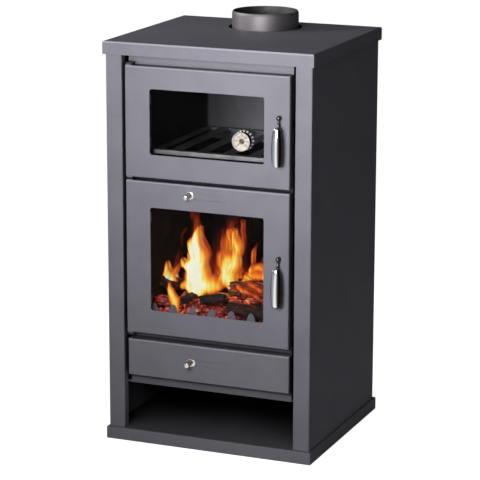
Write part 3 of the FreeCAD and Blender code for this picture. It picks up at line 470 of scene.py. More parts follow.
def enamel(name, colour, roughness=0.35):
    """A thin coat of coloured enamel on a small piece."""
    look = Surface(name)
    mottle = look.lumps(1.6 * MM, detail=3)
    return look.finished(
        Base_Color=look.ramp(mottle, (0.3, scaled(colour, 0.8)), (0.7, colour)),
        Roughness=look.spread(mottle, roughness - 0.06, roughness + 0.1),
        relief=[(mottle, 0.01 * MM)],
    )


def charred_wood(name, brown, glow):
    """Split logs burnt black, cracked in blocks, brown on some faces. Their cracks glow by this much."""
    look = Surface(name)
    cracks = look.cells(22 * MM, feature="DISTANCE_TO_EDGE", stretch=(0.5, 1, 1.3))
    grain = look.lumps(9 * MM, detail=5, stretch=(0.4, 1, 1.6))
    colour = look.ramp(grain, (0.36, grey(0.004)), (0.52, scaled(brown, 0.40)), (0.68, brown))
    red, orange = scaled((0.55, 0.04, 0.02), glow), scaled((1.0, 0.22, 0.05), glow)
    patches = look.lumps(22 * MM, detail=4, warp=1.4)
    heat = look.ramp(patches, (0.48, grey(0)), (0.58, red), (0.68, orange))
    bark = look.lumps(5 * MM, detail=3, stretch=(0.35, 1, 1.3))
    clear = look.spread(cracks, 0.0, 1.0, 0.02, 0.16)
    return look.finished(
        Base_Color=look.mixed(clear, scaled(SOOT, 0.4), colour),
        Roughness=look.spread(grain, 0.7, 0.95),
        Emission_Color=look.shaded(heat, look.ramp(bark, (0.42, grey(0.1)), (0.60, grey(1)))),
        Emission_Strength=1.0,
        relief=[(cracks, 1.6 * MM), (grain, 0.8 * MM)],
    )


def ember_coal(name):
    """Charcoal that glows through its cracks, less so toward the right."""
    look = Surface(name)
    ash = look.lumps(4 * MM, detail=4)
    black, dark, pale = (0.01, 0.009, 0.009), (0.05, 0.045, 0.045), (0.16, 0.15, 0.145)
    patches = look.lumps(40 * MM, detail=3, warp=1.0)
    crumbs = look.lumps(6 * MM, detail=3)
    heat = look.ramp(patches, (0.40, (0.006, 0.001, 0.001)), (0.48, (0.18, 0.014, 0.010)),
                        (0.56, (0.46, 0.072, 0.050)), (0.67, (0.95, 0.32, 0.12)))
    burnt = look.ramp(look.along("X", 30 * MM, 80 * MM), (0, grey(1)), (1, (0.16, 0.14, 0.12)))
    bright = look.ramp(crumbs, (0.38, (0.15, 0.10, 0.10)), (0.60, (1.3, 1.2, 1.2)))
    return look.finished(
        Base_Color=look.ramp(ash, (0.35, black), (0.62, dark), (0.8, pale)),
        Roughness=0.95,
        Emission_Color=look.shaded(heat, look.shaded(burnt, bright)),
        Emission_Strength=1.0,
        relief=[(ash, 0.8 * MM)],
    )


def flame_glow(name):
    """Flame: light only. Colour and cover come from the mesh."""
    look = Surface(name)
    tree = look.tree
    tree.nodes.remove(look.shader)
    tint = add_node(tree, "Attribute")
    tint.attribute_name = "burn_tint"
    glow = add_node(tree, "Emission", Color=tint.outputs["Color"])
    clear = add_node(tree, "BsdfTransparent")
    cover = add_node(tree, "MixShader", tint.outputs["Alpha"], clear.outputs[0], glow.outputs[0])
    feed(tree, tree.nodes["Material Output"].inputs["Surface"], cover.outputs[0])
    return look.data


def front_painted_shade():
    """Painted shade on the front plate: on the hinge lugs, between the doors and above the drawer, with a
    dark line along the top of the oven door.
    """
    low, high = (corner.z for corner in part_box("front_plate"))
    drawer_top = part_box("ash_drawer_front")[1].z
    fire_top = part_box("fire_door_panel")[1].z
    oven_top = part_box("oven_door_panel")[1].z
    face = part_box("oven_door_rope_seal")[1].y
    levels = ((drawer_top - 2 * MM, 0.65), (drawer_top - 1 * MM, 0.13), (drawer_top + 4 * MM, 0.13),
              (drawer_top + 6 * MM, 0.65), (fire_top - 6 * MM, 0.65), (fire_top - 5 * MM, 0.26),
              (fire_top + 2.5 * MM, 0.26), (fire_top + 4 * MM, 0.65), (oven_top - 4 * MM, 0.65),
              (oven_top - 3 * MM, 0.2), (oven_top - 1 * MM, 0.2), (oven_top + 0.5 * MM, 1.0))
    up = tuple(((z - low) / (high - low), shade) for z, shade in levels)
    return ("Z", low, high, up), ("Y", face - 1.5 * MM, face - 0.5 * MM, ((0, 0.3), (1, 1.0)))


def base_painted_shade():
    """Painted shade on the upper side of the base, which is the floor of the wood niche."""
    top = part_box("base_plate")[1].z
    return (("Z", top - 1.5 * MM, top - 0.5 * MM, ((0, 1.0), (1, 0.46))),)


def grip_painted_reflection():
    """Painted reflection across a grip: blue on its left, clear in the middle, dark brown on its right."""
    low, high = (corner.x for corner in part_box("oven_handle_grip"))
    # Where the painted white band ends and the painted dark brown starts
    white_end = 1 - 9.5 * MM / (high - low)
    brown = 1 - 6.5 * MM / (high - low)
    return low, high, ((0.0, (0.16, 0.18, 0.24)), (0.10, (0.42, 0.52, 0.68)), (0.30, (0.80, 0.90, 1.0)),
                       (0.36, (1, 1, 1)), (white_end, (1, 1, 1)), (brown, (0.075, 0.06, 0.05)))


rack_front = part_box("oven_rack")[0].y
LOOKS = {
    "plate_paint": stove_paint("plate_paint_look", PAINT, 0.52, edges=1.7),
    "casing_paint": stove_paint("casing_paint_look", PAINT, 0.52),
    "door_paint": stove_paint("door_paint_look", PAINT, 0.52, edges=1.5),
    "body_paint": stove_paint("body_paint_look", PAINT_DARK, 0.6),
    "flue_paint": flue_steel("flue_paint_look", PAINT_FLUE),
    "oven_steel": oven_enamel("oven_enamel_look"),
    "rack_steel": mill_steel("rack_steel_look", (0.47, 0.48, 0.49), 0.42, rack_front + 2.5 * MM),
    "grate_iron": cast_iron("grate_iron_look"),
    "fire_brick": fire_brick("fire_brick_look"),
    "baffle_steel": sooty_steel("baffle_steel_look", (0.035, 0.033, 0.034)),
    "bare_steel": mill_steel("bare_steel_look", (0.34, 0.335, 0.33), 0.36),
    "pan_steel": mill_steel("pan_steel_look", (0.28, 0.28, 0.285), 0.42),
    "slide_steel": mill_steel("slide_steel_look", (0.30, 0.30, 0.305), 0.4),
    "knob_steel": chrome("knob_chrome_look", (0.66, 0.62, 0.57), roughness=0.20),
    "rope": glass_fibre("rope_look"),
    "door_glass": fire_glass("door_glass_look"),
    "handle_chrome": chrome("handle_chrome_look", tint=grip_painted_reflection()),
    "arm_steel": chrome("arm_chrome_look", (0.10, 0.10, 0.105)),
    "gauge_steel": chrome("gauge_steel_look", (0.66, 0.66, 0.67)),
    "gauge_fins": enamel("gauge_fins_look", (0.90, 0.89, 0.86), 0.3),
    "dial_face": dial_card("dial_card_look"),
    "pointer_paint": enamel("pointer_look", (0.32, 0.16, 0.03)),
    "lens_glass": clear_lens("lens_look"),
}
# Nodes whose paint differs from that of their slot. The guard behind the glass has no painted shade of gaps;
# the front plate and the base get painted shade by place.
OWN_LOOKS = {
    "log_guard": stove_paint("guard_paint_look", PAINT, 0.52, with_painted_shade=False),
    "front_plate": stove_paint("front_paint_look", PAINT_FRONT, 0.6, bands=front_painted_shade()),
    "base_plate": stove_paint("base_paint_look", PAINT, 0.52, bands=base_painted_shade()),
}


def dress_nodes():
    """Gives each node of the model the look of its own slot."""
    for entry in frame["record"]["subparts"]:
        data = nodes[entry["node"]].data
        data.materials.clear()
        data.materials.append(OWN_LOOKS.get(entry["node"]) or LOOKS[entry["material_slot"]])


# Meshes

def placed(name, data):
    """A new object in the scene."""
    thing = bpy.data.objects.new(name, data)
    bpy.context.scene.collection.objects.link(thing)
    return thing


def piece(name, mesh, body, look, smooth=True, instead_of=()):
    """A new object on a body. look is a slot of the record or a material of its own."""
    data = bpy.data.meshes.new(name)
    bmesh.ops.recalc_face_normals(mesh, faces=mesh.faces[:])
    mesh.to_mesh(data)
    mesh.free()
    thing = placed(name, data)
    data.materials.append(LOOKS[look] if look in LOOKS else look)
    if smooth:
        data.polygons.foreach_set("use_smooth", [True] * len(data.polygons))
        data.set_sharp_from_angle(angle=sharp_fold)
    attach(thing, body)
    if instead_of:
        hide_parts(*instead_of)


def turned(profile, origin, axis, steps=40, into=None):
    """A solid of revolution. Each profile point is a radius and a distance along the axis."""
    mesh = into or bmesh.new()
    turn = Vector((0, 0, 1)).rotation_difference(Vector(axis))
    origin = Vector(origin)
    rings = []
    for radius, along in profile:
        ring = []
        for step in range(steps if radius > 1e-7 else 1):
            angle = 2 * math.pi * step / steps
            point = Vector((radius * math.cos(angle), radius * math.sin(angle), along))
            ring.append(mesh.verts.new(origin + turn @ point))
        rings.append(ring)
    for low, high in zip(rings, rings[1:]):
        skin(mesh, low, high)
    for ring in (rings[0], rings[-1]):
        if len(ring) > 1:
            mesh.faces.new(ring)
    return mesh


def skin(mesh, low, high):
    """Faces between two closed rings, either of which may be one point."""
    count = max(len(low), len(high))
    for step in range(count):
        after = (step + 1) % count
        below = [low[step % len(low)], low[after % len(low)]]
        above = [high[after % len(high)], high[step % len(high)]]
        corners = list(dict.fromkeys(below + above))
        if len(corners) > 2:
            mesh.faces.new(corners)


def tube(mesh, points, radii, steps=16):
    """A tube along a line of points."""
    rings = []
    for index, (point, radius) in enumerate(zip(points, radii)):
        before = points[max(index - 1, 0)]
        after = points[min(index + 1, len(points) - 1)]
        ahead = (after - before).normalized()
        across = Vector((1, 0, 0)) if abs(ahead.x) < 0.9 else Vector((0, 1, 0))
        other = ahead.cross(across).normalized()
        across = other.cross(ahead).normalized()
        ring = []
        for step in range(steps):
            angle = 2 * math.pi * step / steps
            out = across * math.cos(angle) + other * math.sin(angle)
            ring.append(mesh.verts.new(point + radius * out))
        rings.append(ring)
    for low, high in zip(rings, rings[1:]):
        skin(mesh, low, high)
    mesh.faces.new(rings[0])
    mesh.faces.new(rings[-1])


def smooth_line(corners, count):
    """Points along a smooth line through the corners."""
    points = []
    last = len(corners) - 1
    for index in range(count):
        place = index / (count - 1) * last
        start = min(int(place), last - 1)
        share = place - start
        p0, p1, p2, p3 = (corners[max(0, min(last, start + shift))] for shift in (-1, 0, 1, 2))
        points.append(0.5 * (2 * p1 + (p2 - p0) * share + (2 * p0 - 5 * p1 + 4 * p2 - p3) * share ** 2
                             + (3 * p1 - p0 - 3 * p2 + p3) * share ** 3))
    return points


def dome(radius, height, steps=8):
    """Profile of a flat dome that ends on the axis, without its first ring."""
    angles = [math.pi / 2 * step / steps for step in range(1, steps + 1)]
    return [(radius * math.cos(angle), height * math.sin(angle)) for angle in angles]


# Handles

# Height and width of a grip from its lower to its upper end: a barrel, narrow at the top
GRIP_SHARES = (
    (0, 0), (0, 0.40), (0.012, 0.62), (0.045, 0.78), (0.12, 0.89), (0.24, 0.965), (0.38, 1.0),
    (0.52, 0.995), (0.66, 0.95), (0.80, 0.86), (0.90, 0.74), (0.955, 0.60), (0.985, 0.44), (1, 0.26), (1, 0),
)


def handle(door):
    """A chrome grip on a curved arm with a ball head, over the handle's spindle."""
    body = f"{door}_handle"
    arm_low, arm_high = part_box(f"{door}_handle_arm")
    grip_low, grip_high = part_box(f"{door}_handle_grip")
    grip_middle = (grip_low + grip_high) / 2
    x = (arm_low.x + arm_high.x) / 2
    front = arm_low.y
    head_z = arm_high.z - head_drop
    arm = bmesh.new()
    head = [(spindle_radius, front - arm_high.y), (spindle_radius, -head_depth),
            (head_radius - 0.6 * MM, -head_depth), (head_radius, 1 * MM - head_depth),
            (head_radius, -head_crown)]
    head += [(radius, height - head_crown) for radius, height in dome(head_radius, head_crown)]
    turned(head, (x, front, head_z), (0, -1, 0), into=arm)
    neck_y = front + neck_set_back
    arm_y = grip_middle.y + arm_set_back
    corners = ((neck_y, head_z + 1 * MM), (neck_y, head_z - 8 * MM), (arm_y, grip_high.z + 1 * MM),
               (arm_y, grip_high.z - 14 * MM), (arm_y, grip_middle.z), (arm_y, grip_low.z + 18 * MM),
               (arm_y, grip_low.z + 9 * MM), (arm_y + 3.5 * MM, grip_low.z + 5.5 * MM))
    line = smooth_line([Vector((x, y, z)) for y, z in corners], 40)
    # The first third of the arm has a waist
    waist = [math.sin(math.pi * min(1, index / 14)) for index in range(len(line))]
    tube(arm, line, [neck_radius * (1.0 - 0.16 * depth) for depth in waist])
    piece(f"{door}_handle_arm_smooth", arm, body, "arm_steel", instead_of=[f"{door}_handle_arm"])

    half_width = (grip_high.x - grip_low.x) / 2
    half_depth = (grip_high.y - grip_low.y) / 2
    length = grip_high.z - grip_low.z
    corners = [Vector((width * half_width, 0, height * length)) for height, width in GRIP_SHARES]
    profile = [(max(0.0, min(half_width, point.x)), point.z) for point in smooth_line(corners, 46)]
    grip = turned(profile, (0, 0, 0), (0, 0, 1), steps=56)
    bmesh.ops.scale(grip, verts=grip.verts, vec=(1, half_depth / half_width, 1))
    bmesh.ops.translate(grip, verts=grip.verts, vec=(grip_middle.x, grip_middle.y, grip_low.z))
    piece(f"{door}_handle_grip_smooth", grip, body, "handle_chrome", instead_of=[f"{door}_handle_grip"])


def air_knob(name, body):
    """A chrome knob: a domed disc with a round pin."""
    low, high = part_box(name)
    middle = (low + high) / 2
    disc = (high.x - low.x) / 2
    depth = high.y - low.y
    profile = [(disc - 0.8 * MM, 0), (disc, 0.6 * MM), (disc, 1.6 * MM), (disc - 1.4 * MM, 2.6 * MM),
               (knob_pin + 1.2 * MM, 3.0 * MM), (knob_pin, 4.2 * MM), (knob_pin, depth - 1.6 * MM),
               (knob_pin - 0.6 * MM, depth - 0.5 * MM), (knob_pin - 1.6 * MM, depth), (0, depth)]
    knob = turned(profile, (middle.x, high.y, middle.z), (0, -1, 0), steps=48)
    piece(f"{name}_smooth", knob, body, "knob_steel", instead_of=[name])


# Thermometer

def tick(mesh, start, angle, inner, outer, half):
    """One tick of the dial: a flat bar that points away from the dial's middle."""
    out = Vector((math.cos(angle), 0, math.sin(angle)))
    side = Vector((-math.sin(angle), 0, math.cos(angle))) * half
    ring = [start + out * inner - side, start + out * outer - side,
            start + out * outer + side, start + out * inner + side]
    back = [mesh.verts.new(corner) for corner in ring]
    front = [mesh.verts.new(corner - Vector((0, tick_depth, 0))) for corner in ring]
    skin(mesh, back, front)
    mesh.faces.new(front)
    mesh.faces.new(back)


def dial_marks():
    """Ticks, numbers and a gold ring on the thermometer's dial."""
    low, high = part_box("thermometer_dial")
    middle = (low + high) / 2
    face = low.y
    radius = (high.x - low.x) / 2
    ink = (0.03, 0.025, 0.02)
    marks = bmesh.new()
    for index in range(tick_steps + 1):
        angle = dial_start - dial_sweep * index / tick_steps
        at_number = index * number_steps % tick_steps == 0
        inner, half = (0.80, 0.65 * MM) if at_number else (0.86, 0.34 * MM)
        tick(marks, Vector((middle.x, face, middle.z)), angle, radius * inner, radius * 0.93, half)
    piece("dial_ticks", marks, "oven_door", enamel("dial_print_look", ink), smooth=False)
    for index in range(number_steps + 1):
        angle = dial_start - dial_sweep * index / number_steps
        text = bpy.data.curves.new(f"dial_number_{index * heat_per_number}", "FONT")
        text.body = str(index * heat_per_number)
        text.size = number_size
        text.align_x = "CENTER"
        text.align_y = "CENTER"
        text.extrude = tick_depth / 3
        text.materials.append(enamel(f"dial_number_look_{index}", ink))
        number = placed(text.name, text)
        out = Vector((math.cos(angle), 0, math.sin(angle))) * radius * 0.62
        place = Matrix.Translation(Vector((middle.x, face - tick_depth / 2, middle.z)) + out)
        number.matrix_world = place @ Matrix.Rotation(math.radians(90), 4, "X")
        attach(number, "oven_door")
    outer, inner = radius * 0.34, radius * 0.27
    profile = [(outer, 0), (outer, 0.2 * MM), (inner, 0.28 * MM), (inner, 0)]
    hub = turned(profile, (middle.x, face, middle.z), (0, -1, 0))
    piece("dial_ring", hub, "oven_door", enamel("dial_gold_look", (0.36, 0.20, 0.05)))


# Screws

def screw(mesh, place, radius):
    """A button head with a round socket, facing the back."""
    edge = radius * 0.25
    socket = radius * 0.42
    profile = [(radius, 0), (radius, edge)]
    profile += [(ring, edge + height) for ring, height in dome(radius, radius * 0.5)[:5]]
    profile += [(socket, profile[-1][1]), (socket, edge), (0, edge)]
    turned(profile, place, (0, 1, 0), steps=24, into=mesh)


def casing_screws():
    """Screws that hold the back panel to the rear flanges of the side panels."""
    low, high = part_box("back_panel")
    screws = bmesh.new()
    for x in (low.x + casing_screw_inset, high.x - casing_screw_inset):
        for share in (0.06, 0.35, 0.65, 0.94):
            screw(screws, (x, high.y, low.z + (high.z - low.z) * share), casing_screw)
    piece("casing_screws", screws, "cabinet", "bare_steel")


def clip_screws(door):
    """One screw through each of the clips that hold a door's glass."""
    screws = bmesh.new()
    for corners in loose_parts(nodes[f"{door}_door_clips"].data):
        low = Vector([min(corner[axis] for corner in corners) for axis in range(3)])
        high = Vector([max(corner[axis] for corner in corners) for axis in range(3)])
        x = high.x - clip_screw_inset if high.x > 0 else low.x + clip_screw_inset
        screw(screws, (x, high.y, (low.z + high.z) / 2), clip_screw)
    piece(f"{door}_clip_screws", screws, f"{door}_door", "bare_steel")


def loose_parts(data):
    """The corner points of each separate part of a mesh."""
    mesh = bmesh.new()
    mesh.from_mesh(data)
    bmesh.ops.remove_doubles(mesh, verts=mesh.verts, dist=1e-6)
    parts = []
    left = set(mesh.verts)
    while left:
        start = left.pop()
        part, queue = [start], [start]
        while queue:
            for edge in queue.pop().link_edges:
                for vert in edge.verts:
                    if vert in left:
                        left.discard(vert)
                        part.append(vert)
                        queue.append(vert)
        parts.append([vert.co.copy() for vert in part])
    mesh.free()
    return parts


# Fire

def log(name, start, end, radius, look, seed):
    """A split log, charred: a rough bar with a flat side and jagged ends."""
    mesh = bmesh.new()
    rows, steps = 26, 28
    split = 0.35
    axis = end - start
    across = axis.cross(Vector((0, 0, 1))).normalized()
    upward = across.cross(axis).normalized()
    rings = []
    for row in range(rows + 1):
        share = row / rows
        ring = []
        for step in range(steps):
            angle = 2 * math.pi * step / steps
            reach = 1 - split * max(0, math.cos(angle - 1.1)) ** 2
            place = Vector((math.cos(angle) * 2, math.sin(angle) * 2, share * 5 + seed))
            rough = 0.16 * noise.noise(place) + 0.07 * noise.noise(place * 3.1)
            ends = 1 - 0.25 * (abs(2 * share - 1) ** 6)
            distance = radius * reach * ends * (1 + rough)
            jag = radius * 1.4 * noise.noise(place * 1.3) * abs(2 * share - 1) ** 5
            around = across * math.cos(angle) + upward * math.sin(angle)
            vert = start + axis * share + axis.normalized() * jag + distance * around
            ring.append(mesh.verts.new(vert))
        rings.append(ring)
    for low, high in zip(rings, rings[1:]):
        skin(mesh, low, high)
    for ring, way in ((rings[0], -1), (rings[-1], 1)):
        centre = sum((vert.co for vert in ring), Vector()) / len(ring)
        middle = mesh.verts.new(centre + axis.normalized() * way * radius * 0.18)
        skin(mesh, ring, [middle])
    piece(name, mesh, "cabinet", look)


def coals(name, across, along, z, count, size, seed):
    """A bed of broken coals over a rectangle of the grate, given by its ends in x and in y."""
    rng = random.Random(seed)
    long_and_flat = Vector((1.25, 1, 0.8))
    mesh = bmesh.new()
    for index in range(count):
        place = Vector((rng.uniform(*across), rng.uniform(*along), z + rng.uniform(-0.2, 0.7) * size))
        radius = size * rng.uniform(0.55, 1.1)
        lump = bmesh.ops.create_icosphere(mesh, subdivisions=2, radius=radius)["verts"]
        shift = Vector((rng.uniform(0, 50), 0, 0))
        turn = Quaternion([rng.uniform(-1, 1) for part in range(4)]).normalized()
        for vert in lump:
            push = 1 + 0.45 * noise.noise(vert.co.normalized() * 1.7 + shift)
            vert.co = place + turn @ (vert.co * push * long_and_flat)
    piece(name, mesh, "cabinet", ember)


# Flames, in millimetres. Each lick is a line from its foot to its tip: x, z, half width, heat.

LICKS = {
    "main": ((-68, 332, 13, 1.0), (-67, 353, 17, 1.5), (-68, 379, 16, 1.5), (-68, 405, 14, 1.5),
             (-66, 431, 10, 1.35), (-61, 454, 7, 0.95), (-55, 471, 3, 0.45)),
    "veil": ((-66, 459, 12, 0.36), (-66, 479, 14, 0.36), (-70, 493, 12, 0.34), (-72, 503, 8, 0.3)),
    "main_flank": ((-38, 353, 12, 0.56), (-40, 382, 8, 0.48), (-42, 415, 7, 0.44), (-45, 444, 5, 0.42),
                   (-45, 470, 4, 0.34)),
    "spike": ((-83, 384, 8, 1.1), (-97, 387, 5, 0.95), (-106, 397, 2, 0.6)),
    "second": ((19, 341, 6, 0.85), (14, 370, 12, 1.05), (15, 393, 12, 1.0), (22, 419, 9, 0.9),
               (25, 445, 9, 0.82), (18, 468, 8, 0.65), (8, 478, 3, 0.4)),
    "second_lobe": ((38, 420, 5, 0.40), (43, 440, 7, 0.38), (46, 461, 8, 0.38), (44, 481, 7, 0.36),
                    (35, 494, 4, 0.34)),
    "second_flank": ((-1, 372, 9, 0.8), (3, 398, 8, 0.62), (-1, 427, 7, 0.5), (-5, 453, 5, 0.4),
                     (-7, 471, 2, 0.3)),
    "between": ((-44, 344, 12, 0.60), (-20, 352, 12, 0.50), (-1, 356, 11, 0.60)),
    "left": ((-122, 348, 8, 0.9), (-134, 356, 8, 0.98), (-138, 372, 5, 0.85), (-138, 386, 2, 0.5)),
    "left_sweep": ((-128, 351, 7, 0.7), (-118, 372, 7, 0.55), (-106, 391, 5, 0.42)),
    "right": ((50, 375, 8, 0.6), (66, 384, 9, 0.62), (81, 397, 6, 0.5)),
    "right_curl": ((62, 392, 4, 0.5), (70, 410, 5, 0.48), (72, 430, 4, 0.42), (78, 446, 2, 0.3)),
    "right_low": ((44, 362, 5, 0.62), (58, 368, 6, 0.66), (74, 372, 6, 0.62), (92, 382, 5, 0.5)),
    "right_edge": ((94, 372, 5, 0.5), (90, 396, 6, 0.5), (96, 416, 3, 0.36)),
    "streak": ((-102, 430, 2, 0.34), (-95, 448, 2, 0.34), (-90, 465, 2, 0.28)),
    "foot": ((-98, 336, 6, 0.70), (-72, 330, 9, 0.75), (-48, 331, 9, 0.62), (-16, 339, 8, 0.55)),
}
LOW_LICKS = {
    "low": ((-90, 297, 5, 0.6), (-96, 321, 9, 0.9), (-100, 343, 6, 0.85), (-104, 355, 2, 0.5)),
    "right_glow": ((40, 356, 8, 0.30), (68, 364, 11, 0.36), (100, 360, 12, 0.34), (126, 352, 9, 0.30)),
    "left_haze": ((-110, 362, 12, 0.26), (-98, 392, 12, 0.27), (-80, 424, 9, 0.23)),
    "sweep_top": ((66, 396, 3, 0.33), (87, 390, 3, 0.35), (110, 381, 3, 0.30)),
    "sweep_mid": ((66, 384, 3, 0.29), (88, 375, 4, 0.32), (110, 363, 3, 0.27)),
    "sweep_low": ((54, 362, 3, 0.31), (79, 353, 3, 0.33), (110, 339, 3, 0.28)),
}
BACK_LICKS = {
    "back_left": ((-100, 330, 14, 0.5), (-96, 380, 10, 0.4), (-90, 430, 4, 0.3)),
    "back_middle": ((-15, 330, 24, 0.6), (-18, 390, 16, 0.45), (-10, 450, 6, 0.3)),
    "haze": ((-20, 345, 50, 0.42), (-16, 420, 34, 0.36), (-6, 472, 18, 0.26)),
    "back_right": ((75, 330, 16, 0.5), (84, 380, 10, 0.4), (92, 420, 4, 0.3)),
}
HEAT_COLOURS = ((0.00, (0.06, 0.005, 0.003)), (0.25, (0.26, 0.024, 0.010)), (0.42, (0.82, 0.12, 0.020)),
                (0.60, (1.00, 0.36, 0.025)), (0.78, (1.00, 0.72, 0.10)), (0.95, (1.00, 0.95, 0.38)),
                (1.12, (1.00, 1.00, 0.80)))


def heat_colour(heat):
    """Colour of a flame at a heat, from the two colours that it lies between."""
    for (low, dark), (high, light) in zip(HEAT_COLOURS, HEAT_COLOURS[1:]):
        if heat <= high:
            share = max(0.0, (heat - low) / (high - low))
            return tuple(a + (b - a) * share for a, b in zip(dark, light))
    return HEAT_COLOURS[-1][1]


def lick_heat(x, z, lick):
    """Heat at a point of one lick: highest on its middle line, none beyond twice its half width."""
    best = 0.0
    for (x0, z0, w0, h0), (x1, z1, w1, h1) in zip(lick, lick[1:]):
        run, rise = x1 - x0, z1 - z0
        share = max(0.0, min(1.0, ((x - x0) * run + (z - z0) * rise) / (run * run + rise * rise)))
        off = math.hypot(x - x0 - run * share, z - z0 - rise * share) / (w0 + (w1 - w0) * share)
        if off < 2:
            best = max(best, (h0 + (h1 - h0) * share) * (1 - (off / 2) ** 1.5) ** 1.2)
    return best


def fire_heat(x, z, licks, seed):
    """Heat of all the licks together, drawn into streaks and curls that grow with height."""
    climb = max(0.0, min(1.0, (z - 320) / 150))
    curl = noise.noise(Vector((x / 34, z / 44 - seed, seed)))
    fine = noise.noise(Vector((x / 11 + seed, z / 26, seed * 2)))
    x += (5 + 9 * climb) * curl + 3.5 * fine
    z += 6 * noise.noise(Vector((x / 20, z / 30, seed + 9)))
    left = 1.0
    for lick in licks.values():
        left *= 1 - min(0.98, 0.72 * lick_heat(x, z, lick))
    heat = (1 - left) / 0.72
    broad = noise.noise(Vector((x / 5.5, z / 30, seed + 4)))
    narrow = noise.noise(Vector((x / 2.6, z / 17, seed + 5)))
    return heat * (1 + 0.42 * (broad + 0.6 * narrow) * min(1.0, 0.35 + climb)) - 0.05


def flame_corner(mesh, layer, x, y, z, heat, depth):
    """The front and back corners of a flame at one place, or its one corner there at the edge."""
    over = max(0.0, heat - flame_edge)
    thick = depth * min(1.0, over) ** 0.5
    cover = min(1.0, over / flame_fade) ** 1.3
    pair = []
    for way in (-1, 1) if thick else (0,):
        vert = mesh.verts.new(Vector((x, y + way * thick, z)) * MM)
        vert[layer] = (*heat_colour(heat), cover if way < 1 else cover * 0.6)
        pair.append(vert)
    return pair


def flame_body(name, licks, y, depth, seed):
    """A lens-shaped body of flame, thickest where it is hottest, with its heat as colours on its mesh."""
    mesh = bmesh.new()
    layer = mesh.verts.layers.float_color.new("burn_tint")
    points = [point for lick in licks.values() for point in lick]
    xs, zs = [point[0] for point in points], [point[1] for point in points]
    margin = 30
    x0, z0 = min(xs) - margin, min(zs) - margin
    columns = int((max(xs) + margin - x0) / flame_cell_x)
    rows = int((max(zs) + margin - z0) / flame_cell_z)
    heats = {}
    for row in range(rows + 1):
        for column in range(columns + 1):
            x, z = x0 + flame_cell_x * column, z0 + flame_cell_z * row
            heats[row, column] = fire_heat(x, z, licks, seed)
    corners = {}
    for row in range(rows):
        for column in range(columns):
            cell = ((row, column), (row, column + 1), (row + 1, column + 1), (row + 1, column))
            if max(heats[place] for place in cell) <= flame_edge:
                continue
            for place in cell:
                if place not in corners:
                    x, z = x0 + flame_cell_x * place[1], z0 + flame_cell_z * place[0]
                    corners[place] = flame_corner(mesh, layer, x, y, z, heats[place], depth)
            front = [corners[place][0] for place in cell]
            back = [corners[place][-1] for place in cell]
            mesh.faces.new(front)
            if front != back:
                mesh.faces.new(list(dict.fromkeys(reversed(back))))
    piece(name, mesh, "cabinet", flame)


def fire():
    """Logs, coals and flames on the grate."""
    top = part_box("floor_bricks")[1].z
    coals("coals_front", (-0.140, 0.135), (-0.163, -0.125), top + 2 * MM, 120, 7 * MM, 3)
    coals("coals_middle", (-0.135, 0.130), (-0.130, -0.02), top + 5 * MM, 150, 10 * MM, 8)
    coals("coals_back", (-0.13, 0.12), (-0.02, 0.12), top, 100, 11 * MM, 5)
    for name, start, end, radius, look, seed in (
        ("log_left", (-143, -112, 347), (-84, -60, 330), 15, char_black, 1.3),
        ("log_left_low", (-142, -142, 314), (-88, -128, 303), 13, char_red, 4.9),
        ("log_small", (-80, -150, 318), (-66, -90, 322), 9, char_black, 12.2),
        ("log_block", (-34, -152, 325), (20, -146, 334), 12, char_black, 4.1),
        ("log_middle", (-52, -120, 312), (40, -104, 322), 14, char_red, 6.6),
        ("log_right", (30, -126, 352), (134, -96, 346), 19, char_brown, 7.7),
        ("log_right_low", (34, -154, 316), (128, -146, 306), 15, char_black, 9.2),
        ("log_back", (-118, -40, 334), (112, -20, 342), 26, char_black, 14.0),
    ):
        log(name, Vector(start) * MM, Vector(end) * MM, radius * MM, look, seed)
    flame_body("flames", LICKS, -95, 15, 3.7)
    flame_body("flame_low", LOW_LICKS, -158, 5, 8.1)
    flame_body("flames_back", BACK_LICKS, -30, 16, 5.2)


# Studio

def studio():
    """Pale floor, soft lamps and a pale world."""
    bpy.context.scene.view_settings.view_transform = "Standard"
    bpy.context.scene.cycles.transparent_max_bounces = 40
    mesh = bmesh.new()
    bmesh.ops.create_grid(mesh, x_segments=2, y_segments=2, size=40)
    data = bpy.data.meshes.new("floor")
    mesh.to_mesh(data)
    mesh.free()
    floor = placed("floor", data)
    floor.location = (0, 0, cad_box[0][2] - 0.2 * MM)
    data.materials.append(floor_look())

    world = bpy.context.scene.world or bpy.data.worlds.new("studio")
    bpy.context.scene.world = world
    world.use_nodes = True
    tree = world.node_tree
    tree.nodes.clear()
    room = add_node(tree, "Background", Color=(0.93, 0.95, 1.0), Strength=0.07)
    walls = add_node(tree, "Background", Strength=studio_walls(tree, "Generated"))
    mix = add_node(tree, "MixShader", seen_rays(tree), room.outputs[0], walls.outputs[0])
    add_node(tree, "OutputWorld", Surface=mix.outputs[0])

    lamp("key", (0.09, -1.40, 0.97), (0.24, -0.2, 0.97), 0.6, 7.4, 110)
    lamp("top", (-0.6, 0.4, 2.6), (0, 0, 0.9), 1.6, 1.9, 180)
    glow = bpy.data.lights.new("fire_light", "POINT")
    glow.energy = 0.16
    glow.color = (1.0, 0.62, 0.46)
    glow.shadow_soft_size = 30 * MM
    placed("fire_light", glow).location = (0.02, -0.145, 0.44)
    lamp("back", (-0.8, 2.2, 0.7), (0, 0.2, 0.5), 0.8, 4.5, 90, shows=False)
    lamp("left", (-1.4, -0.5, 1.30), (-0.02, 0.12, 0.90), 0.4, 0.6, 40)


